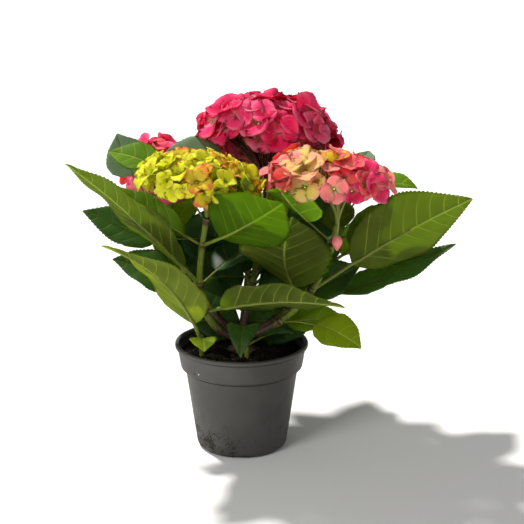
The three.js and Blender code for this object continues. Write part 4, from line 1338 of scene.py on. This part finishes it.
def on_dome(head, count, cover, shrink, seed):
    """Places over a head's dome by the golden angle, from its top down past its widest line, and the
    directions that they face. The dome is a little slimmer than a ball; shrink draws it in towards
    the middle, and the head's tip leans it."""
    k = np.arange(count)
    level = 1 - (k + 0.5) / count * cover
    ring = (1 - np.abs(level) ** DOME_POWERS[0]) ** DOME_POWERS[1]
    out = np.stack([ring * np.cos(k * GOLDEN), ring * np.sin(k * GOLDEN), level], 1)
    scale = np.array([head["radius"], head["radius"] * head["oval"], head["height"]])
    facing = unit(unit(out / scale) + UNEVEN * (chance(k[:, None] * 3 + np.arange(3) + seed) - 0.5))
    out[:, 2] *= np.where(level < 0, HEAD_BELLY, 1)
    reach = shrink * between(0.94, 1.06, k + seed + 77)
    back, left = np.radians(head["tip"])
    turn = np.array([(1, 0, 0), (0, np.cos(back), -np.sin(back)), (0, np.sin(back), np.cos(back))])
    turn = turn @ np.array([(np.cos(left), 0, np.sin(left)), (0, 1, 0), (-np.sin(left), 0, np.cos(left))])
    return np.array(head["centre"]) + (out * scale * reach[:, None]) @ turn, facing @ turn


def across_from(facing):
    """Two directions across each facing direction, at right angles to each other."""
    up = np.array([0.0, 0.0, 1.0])
    side = np.cross(up, facing)
    flat = np.linalg.norm(side, axis=1) < 1e-3
    side[flat] = (1, 0, 0)
    side = unit(side)
    return side, np.cross(facing, side)


def add_florets(surface, centre, facing, length, form, finish, half_thickness, seed):
    """Florets of four sepals. A sepal's middle line leaves the heart at a rise and turns to another
    at its tip, the running sum of its heading; its half width goes as p^0.5 (1 - p^n)^b at a share
    p of it; it is troughed by the square of the distance across, and ruffled along its edges."""
    n = len(centre)
    each = np.arange(n)
    k = np.arange(n * SEPALS)
    floret = k // SEPALS
    side, front = across_from(facing)
    spin = 2 * np.pi * chance(each + seed)[floret] + (k % SEPALS) * np.pi / 2
    spin = spin + between(-0.12, 0.12, k + seed + 5)
    cos, sin = np.cos(spin)[:, None], np.sin(spin)[:, None]
    outward = (side[floret] * cos + front[floret] * sin)[:, None, None]
    around = (front[floret] * cos - side[floret] * sin)[:, None, None]
    ahead = facing[floret][:, None, None]
    long = (length[floret] * between(0.9, 1.12, k + seed + 9))[:, None, None]
    opened = between(-12, 18, each + seed + 13)[floret] + between(-8, 8, k + seed + 17)
    first = np.radians(form["rise"] + opened)[:, None, None]
    turn = np.radians(form["tip_rise"] - form["rise"] + 0.5 * opened)[:, None, None]
    turn = np.where(np.abs(turn) < 0.02, 0.02, turn)
    rows, columns = SEPAL_GRID
    p = (1 - (1 - np.linspace(0.0, 1, rows)) ** 1.7)[None, :, None]
    p = 0.03 + 0.968 * p           # its ends keep a little width
    q = np.linspace(-1, 1, columns)[None, None]
    heading = first + turn * p
    out = long * (np.sin(heading) - np.sin(first)) / turn
    rise = long * (np.cos(first) - np.cos(heading)) / turn
    half = long * form["width"] * WIDTH_LEVEL * p ** 0.5 * (1 - p ** form["square"]) ** form["blunt"]
    ruffle = np.sin(5.2 * p + 2.6 * q + 6.28 * chance(k + seed + 21)[:, None, None]) * np.abs(q) * p
    bend = form["trough"] * q ** 2 * half + RUFFLE * long * ruffle
    normal = ahead * np.cos(heading)[..., None] - outward * np.sin(heading)[..., None]
    rise = rise + SEPAL_LAP * ((k % 2)[:, None, None] + p)
    points = centre[floret][:, None, None] + outward * out[..., None] + ahead * rise[..., None]
    points = points + around * (q * half)[..., None] + normal * bend[..., None]
    pattern = np.stack(np.broadcast_arrays(p + 0 * q + 0 * long, q + 0 * p + 0 * long), -1)
    thin = np.full((rows, columns), half_thickness)
    add_shells(surface, points * MM, thin, thin, np.repeat(finish, SEPALS, axis=0), pattern)


def flower_finishes(settings):
    """Every sepal finish, and its number in the list by name."""
    s = settings
    # body, second colour, heart, tip, the tip's share, light through, rim
    rows = {
        "crimson": (s.crimson, (0.6, 0.01, 0.09), (0.92, 0.36, 0.36), s.rose, 0.4,
                    (1, 0.06, 0.24), (0.98, 0.2, 0.36)),
        "rose": (s.rose, s.crimson, (0.88, 0.66, 0.5), s.pink, 0.3, (1, 0.14, 0.34), (1, 0.36, 0.5)),
        "pink": (s.pink, s.rose, (0.8, 0.7, 0.45), s.pink, 0.2, (1, 0.3, 0.5), (1, 0.55, 0.62)),
        "coral": (s.coral, (0.95, 0.07, 0.13), s.heart, s.blush, 0.2, (1, 0.16, 0.13), (1, 0.4, 0.4)),
        "blush": (s.blush, (0.9, 0.2, 0.26), (0.8, 0.8, 0.4), s.coral, 0.3, (1, 0.4, 0.4), (1, 0.6, 0.55)),
        "lime": (s.lime, (0.8, 0.76, 0.06), (0.6, 0.76, 0.06), s.lime, 0, (0.98, 0.98, 0.1), (0.9, 0.8, 0.2)),
        "flushed": (s.lime, (0.8, 0.62, 0.06), (0.7, 0.76, 0.06), s.flush, 0.95, (1, 0.82, 0.16), s.flush),
        "green": (s.green, (0.45, 0.58, 0.05), (0.6, 0.7, 0.2), s.lime, 0.4, (0.7, 0.9, 0.05), s.lime),
        "cream": (s.cream, (0.9, 0.46, 0.28), (0.6, 0.7, 0.12), s.blush, 0.6, (1, 0.8, 0.36), (1, 0.5, 0.42)),
    }
    finishes = [sepal_finish(f"Sepal {name}", *row) for name, row in rows.items()]
    return finishes, {name: number for number, name in enumerate(rows)}


GREEN_STALK, RED_STALK, EYE, BUD = range(4)      # the order of stalk_finishes
STALKS = {"green": (GREEN_STALK, 9), "red": (RED_STALK, 34)}     # the finish, and how many rays
RAY_STEPS = 14
RAY_ROOT = 0.015                   # how far below the fork the rays start, of the shoot's length
RAY_RADII = (1.6, 0.8)             # at its foot and its end
FLORET_STALK_RADIUS = 0.6
EYE_STATIONS = np.array([-0.4, 0.3, 1.0, 1.5])
EYE_SWELL = np.array([0.55, 1.0, 0.85, 0.35])
BUD_LENGTH = 16
BUD_RADIUS = 5.2
BUD_STALK_RADIUS = 0.8


def stalk_finishes(settings):
    """The finishes of green and red stalks, floret eyes and the hanging bud."""
    lime = np.array(settings.lime)
    return [
        stem_finish("Flower stalk green", (0.13, 0.19, 0.025), (0.22, 0.22, 0.05), (0.16, 0.04, 0.02)),
        stem_finish("Flower stalk red", (0.07, 0.012, 0.01), (0.13, 0.03, 0.018), (0.04, 0.008, 0.008)),
        stem_finish("Floret eye", lime * (1.2, 1.1, 4), lime * (1.4, 1.15, 8), (0.5, 0.25, 0.1), 0.6),
        stem_finish("Hanging bud", (0.62, 0.1, 0.14), (0.75, 0.24, 0.22), (0.3, 0.3, 0.08), 0.6),
    ]


def group_of(head, centre, count):
    """The group of each place, where count groups share a head out from left to right."""
    share = (centre[:, 0] - head["centre"][0]) / head["radius"] / 2 + 0.5
    return np.clip(share * count, 0, count - 1).astype(int)


def make_florets(name, head, settings, finishes, numbers, seed):
    """One piece with all florets of a head, those on its dome and those inside it. Gives back their
    middles and the directions that they face."""
    centre, facing = on_dome(head, head["florets"], head["cover"], 1.0, seed)
    inner, inward = on_dome(head, head["inner"], INNER_COVER, INNER_SHRINK, seed + 3)
    centre, facing = np.concatenate([centre, inner]), np.concatenate([facing, inward])
    k = np.arange(len(centre))
    mixes = [head["tints"][group] for group in group_of(head, centre, len(head["tints"]))]
    draw = chance(k + seed + 40)
    chosen = np.array([numbers[mix[int(d * len(mix))]] for mix, d in zip(mixes, draw)])
    sizes = np.array(head.get("sizes", (1,)))[group_of(head, centre, len(head.get("sizes", (1,))))]
    length = head["sepal"] * between(0.82, 1.18, k + seed + 50) * sizes
    surface = Surface()
    add_florets(surface, centre, facing, length, SEPAL_SHAPES[head["shape"]],
                np.stack([chosen, chosen], 1), settings.thickness / 2, seed)
    ride(surface.build(f"florets_{name}", finishes, pattern="SepalMap"), head["slot"], f"flower_head_{name}")
    return centre, facing


def ray_paths(name, head, rays, seed):
    """The rays that a shoot forks into: they leave it along its own heading and end in a ring about
    the head's middle, but for the first, which ends above it."""
    curve, fork = shoot_points(SHOOTS[name]), SHOOTS[name]["fork"]
    start = bezier(curve, fork - RAY_ROOT)
    heading = unit(bezier(curve, fork) - start)
    k = np.arange(rays)
    angle = k / rays * 2 * np.pi + seed
    spread = np.where(k == 0, 0.05, between(0.38, 0.68, k + seed)) * head["radius"]
    height = np.where(k == 0, 0.35, -0.05) * head["height"]
    ends = np.stack([spread * np.cos(angle), spread * head["oval"] * np.sin(angle), height], 1)
    ends = ends + head["centre"]
    share = np.linspace(0, 1, RAY_STEPS)
    bend = 0.45 * np.linalg.norm(ends - start, axis=1)[:, None]
    return np.stack([bezier((start, start + heading * b, end), share) for b, end in zip(bend, ends)])


def add_bud(surface, middle, root, finish):
    """A closed bud that hangs by a thin stalk from a root."""
    top = np.array(middle) + (0, 0, BUD_LENGTH / 2)
    stalk = bezier((root, (root + top) / 2 + (6, -4, 0), top), np.linspace(0, 1, 10))
    add_tubes(surface, stalk[None] * MM, np.full((1, 10), BUD_STALK_RADIUS * MM), 6, finish)
    share = np.linspace(0, 1, 9)
    line = top - np.outer(share, (0, 0, BUD_LENGTH))
    radius = BUD_RADIUS * np.sin(np.pi * (0.06 + 0.9 * share ** 0.8))
    add_tubes(surface, line[None] * MM, radius[None] * MM, 14, BUD, value=np.exp(-share * 9)[None])


def make_stalks(name, head, centre, facing, finishes, seed):
    """One piece with a head's rays, the thin stalk of each floret, which leaves the nearest ray's
    end, the floret's eye, and the bud if it has one."""
    surface = Surface()
    finish, count = STALKS[head["stalk"]]
    rays = ray_paths(name, head, count, seed)
    ends = rays[:, -1]
    share = np.linspace(0, 1, RAY_STEPS)
    radius = RAY_RADII[0] + (RAY_RADII[1] - RAY_RADII[0]) * share
    add_tubes(surface, rays * MM, radius[None] * MM, 8, finish, value=np.exp(-share * 12)[None])
    foot = ends[np.linalg.norm(centre[:, None] - ends[None], axis=2).argmin(1)]
    back = centre - facing * (0.45 * np.linalg.norm(centre - foot, axis=1))[:, None]
    paths = np.stack([bezier(three, np.linspace(0, 1, 8)) for three in zip(foot, back, centre)])
    add_tubes(surface, paths * MM, np.full((1, 8), FLORET_STALK_RADIUS * MM), 6, finish)
    size = head["sepal"] * between(0.06, 0.09, np.arange(len(centre)) + seed + 60)[:, None]
    eyes = centre[:, None] + facing[:, None] * (size * EYE_STATIONS)[..., None]
    add_tubes(surface, eyes * MM, size * EYE_SWELL * MM, 8, EYE)
    if "bud" in head:
        add_bud(surface, head["bud"], ends[0], finish)
    ride(surface.build(f"stalks_{name}", finishes, attribute="Flush"), "green_stem")


# ---------------------------------------------------------------- operators


class HYDRANGEA_OT_pot(bpy.types.Operator):
    """Make the pot and the peat that fills it"""

    bl_idname = "hydrangea.pot"
    bl_label = "Pot and peat"

    def execute(self, context):
        make_pot(context.scene.hydrangea_pot)
        make_peat(context.scene.hydrangea_pot)
        return {"FINISHED"}


class HYDRANGEA_OT_stems(bpy.types.Operator):
    """Make the woody crown, the stems and the leaf stalks"""

    bl_idname = "hydrangea.stems"
    bl_label = "Crown and stems"

    def execute(self, context):
        make_crown(context.scene.hydrangea_leaf)
        make_stems(context.scene.hydrangea_leaf)
        return {"FINISHED"}


class HYDRANGEA_OT_leaves(bpy.types.Operator):
    """Make the leaves of every shoot"""

    bl_idname = "hydrangea.leaves"
    bl_label = "Leaves"

    def execute(self, context):
        make_leaves(context.scene.hydrangea_leaf)
        return {"FINISHED"}


class HYDRANGEA_OT_flowers(bpy.types.Operator):
    """Make the flower heads"""

    bl_idname = "hydrangea.flowers"
    bl_label = "Flower heads"

    def execute(self, context):
        settings = context.scene.hydrangea_flower
        finishes, numbers = flower_finishes(settings)
        stalks = stalk_finishes(settings)
        for name, head in HEADS.items():
            seed = sum(map(ord, name)) * 1.7     # so that no two heads have the same draws
            centre, facing = make_florets(name, head, settings, finishes, numbers, seed)
            make_stalks(name, head, centre, facing, stalks, seed)
        return {"FINISHED"}


FLOOR_REACH = 30.0                 # the stage is laid out in metres
SUN_ANGLE = np.radians(4.5)        # how far across it is, which softens its shadows
KEY_TOWARDS = (-0.45, 0.4, 1)
KEY_TONE = (1, 0.98, 0.93)
FILL_PLACE = (-1.1, -1.4, 1.3)
FILL_AIM = (0, 0, 0.2)
FILL_SIZE = 0.7
FILL_TONE = (1, 0.99, 0.97)
CAMERA_PLACE = (0.0215, -1.1662, 0.5126)
CAMERA_AIM = (0.0215, 0.0, 0.2001)


def make_floor(settings):
    """A wide pale floor with faint patches."""
    floor = Surface()
    low, high = -FLOOR_REACH, FLOOR_REACH
    corners = np.array([(low, low, 0), (high, low, 0), (high, high, 0), (low, high, 0)])
    floor.add(corners, np.array([[0, 1, 2, 3]]))
    material, graph, inputs = new_finish("Floor", 0.9, 0.1)
    pale, darker = colour(settings.floor), colour(np.array(settings.floor) * 0.985)
    graph.feed(inputs["Base Color"], graph.mix(graph.noise(3.0), pale, darker))
    floor.build("floor", [material])


def make_lights(settings):
    """A broad distant key light, which lights the floor evenly out to its far edge, a square soft
    fill, and even light all round."""
    key = bpy.data.lights.new("key", "SUN")
    key.angle = SUN_ANGLE
    key.energy = settings.key
    key.color = KEY_TONE
    lamp = placed("key", key)
    lamp.rotation_euler = Vector(KEY_TOWARDS).to_track_quat("Z", "Y").to_euler()
    fill = bpy.data.lights.new("fill", "AREA")
    fill.size = FILL_SIZE
    fill.energy = settings.fill
    fill.color = FILL_TONE
    lamp = placed("fill", fill)
    lamp.location = FILL_PLACE
    lamp.rotation_euler = (Vector(FILL_AIM) - Vector(FILL_PLACE)).to_track_quat("-Z", "Y").to_euler()
    world = bpy.data.worlds.new("surround")
    world.use_nodes = True
    surround = world.node_tree.nodes["Background"]
    surround.inputs["Color"].default_value = (1, 1, 1, 1)
    surround.inputs["Strength"].default_value = settings.sky
    bpy.context.scene.world = world


def make_camera(settings):
    """The camera, and the plain view of colours."""
    lens = bpy.data.cameras.new("camera")
    lens.lens = settings.lens
    camera = placed("camera", lens)
    camera.location = CAMERA_PLACE
    aim = Vector(CAMERA_AIM) - Vector(CAMERA_PLACE)
    camera.rotation_euler = aim.to_track_quat("-Z", "Y").to_euler()
    bpy.context.scene.camera = camera
    bpy.context.scene.view_settings.view_transform = "Standard"


class HYDRANGEA_OT_stage(bpy.types.Operator):
    """Make the floor, the lights and the camera"""

    bl_idname = "hydrangea.stage"
    bl_label = "Stage"

    def execute(self, context):
        settings = context.scene.hydrangea_stage
        make_floor(settings)
        make_lights(settings)
        make_camera(settings)
        return {"FINISHED"}


class HYDRANGEA_PT_panel(bpy.types.Panel):
    """Lists the plant's settings and steps"""

    bl_idname = "HYDRANGEA_PT_panel"
    bl_label = "Hydrangea"
    bl_space_type = "VIEW_3D"
    bl_region_type = "UI"
    bl_category = "Hydrangea"

    def draw(self, context):
        for operator, group in STEPS:
            box = self.layout.box()
            box.operator(operator.bl_idname)
            settings = getattr(context.scene, group)
            for key in settings.__annotations__:
                box.prop(settings, key)


STEPS = (
    (HYDRANGEA_OT_pot, "hydrangea_pot"),
    (HYDRANGEA_OT_stems, "hydrangea_leaf"),
    (HYDRANGEA_OT_leaves, "hydrangea_leaf"),
    (HYDRANGEA_OT_flowers, "hydrangea_flower"),
    (HYDRANGEA_OT_stage, "hydrangea_stage"),
)
GROUPS = {
    "hydrangea_pot": PotSettings,
    "hydrangea_leaf": LeafSettings,
    "hydrangea_flower": FlowerSettings,
    "hydrangea_stage": StageSettings,
}
CLASSES = (*GROUPS.values(), *(operator for operator, _ in STEPS), HYDRANGEA_PT_panel)


def register():
    for cls in CLASSES:
        bpy.utils.register_class(cls)
    for name, group in GROUPS.items():
        setattr(bpy.types.Scene, name, PointerProperty(type=group))


def unregister():
    for name in GROUPS:
        delattr(bpy.types.Scene, name)
    for cls in reversed(CLASSES):
        bpy.utils.unregister_class(cls)


def main():
    register()
    bpy.ops.hydrangea.pot()
    bpy.ops.hydrangea.stems()
    bpy.ops.hydrangea.leaves()
    bpy.ops.hydrangea.flowers()
    bpy.ops.hydrangea.stage()


if __name__ == "__main__":
    main()
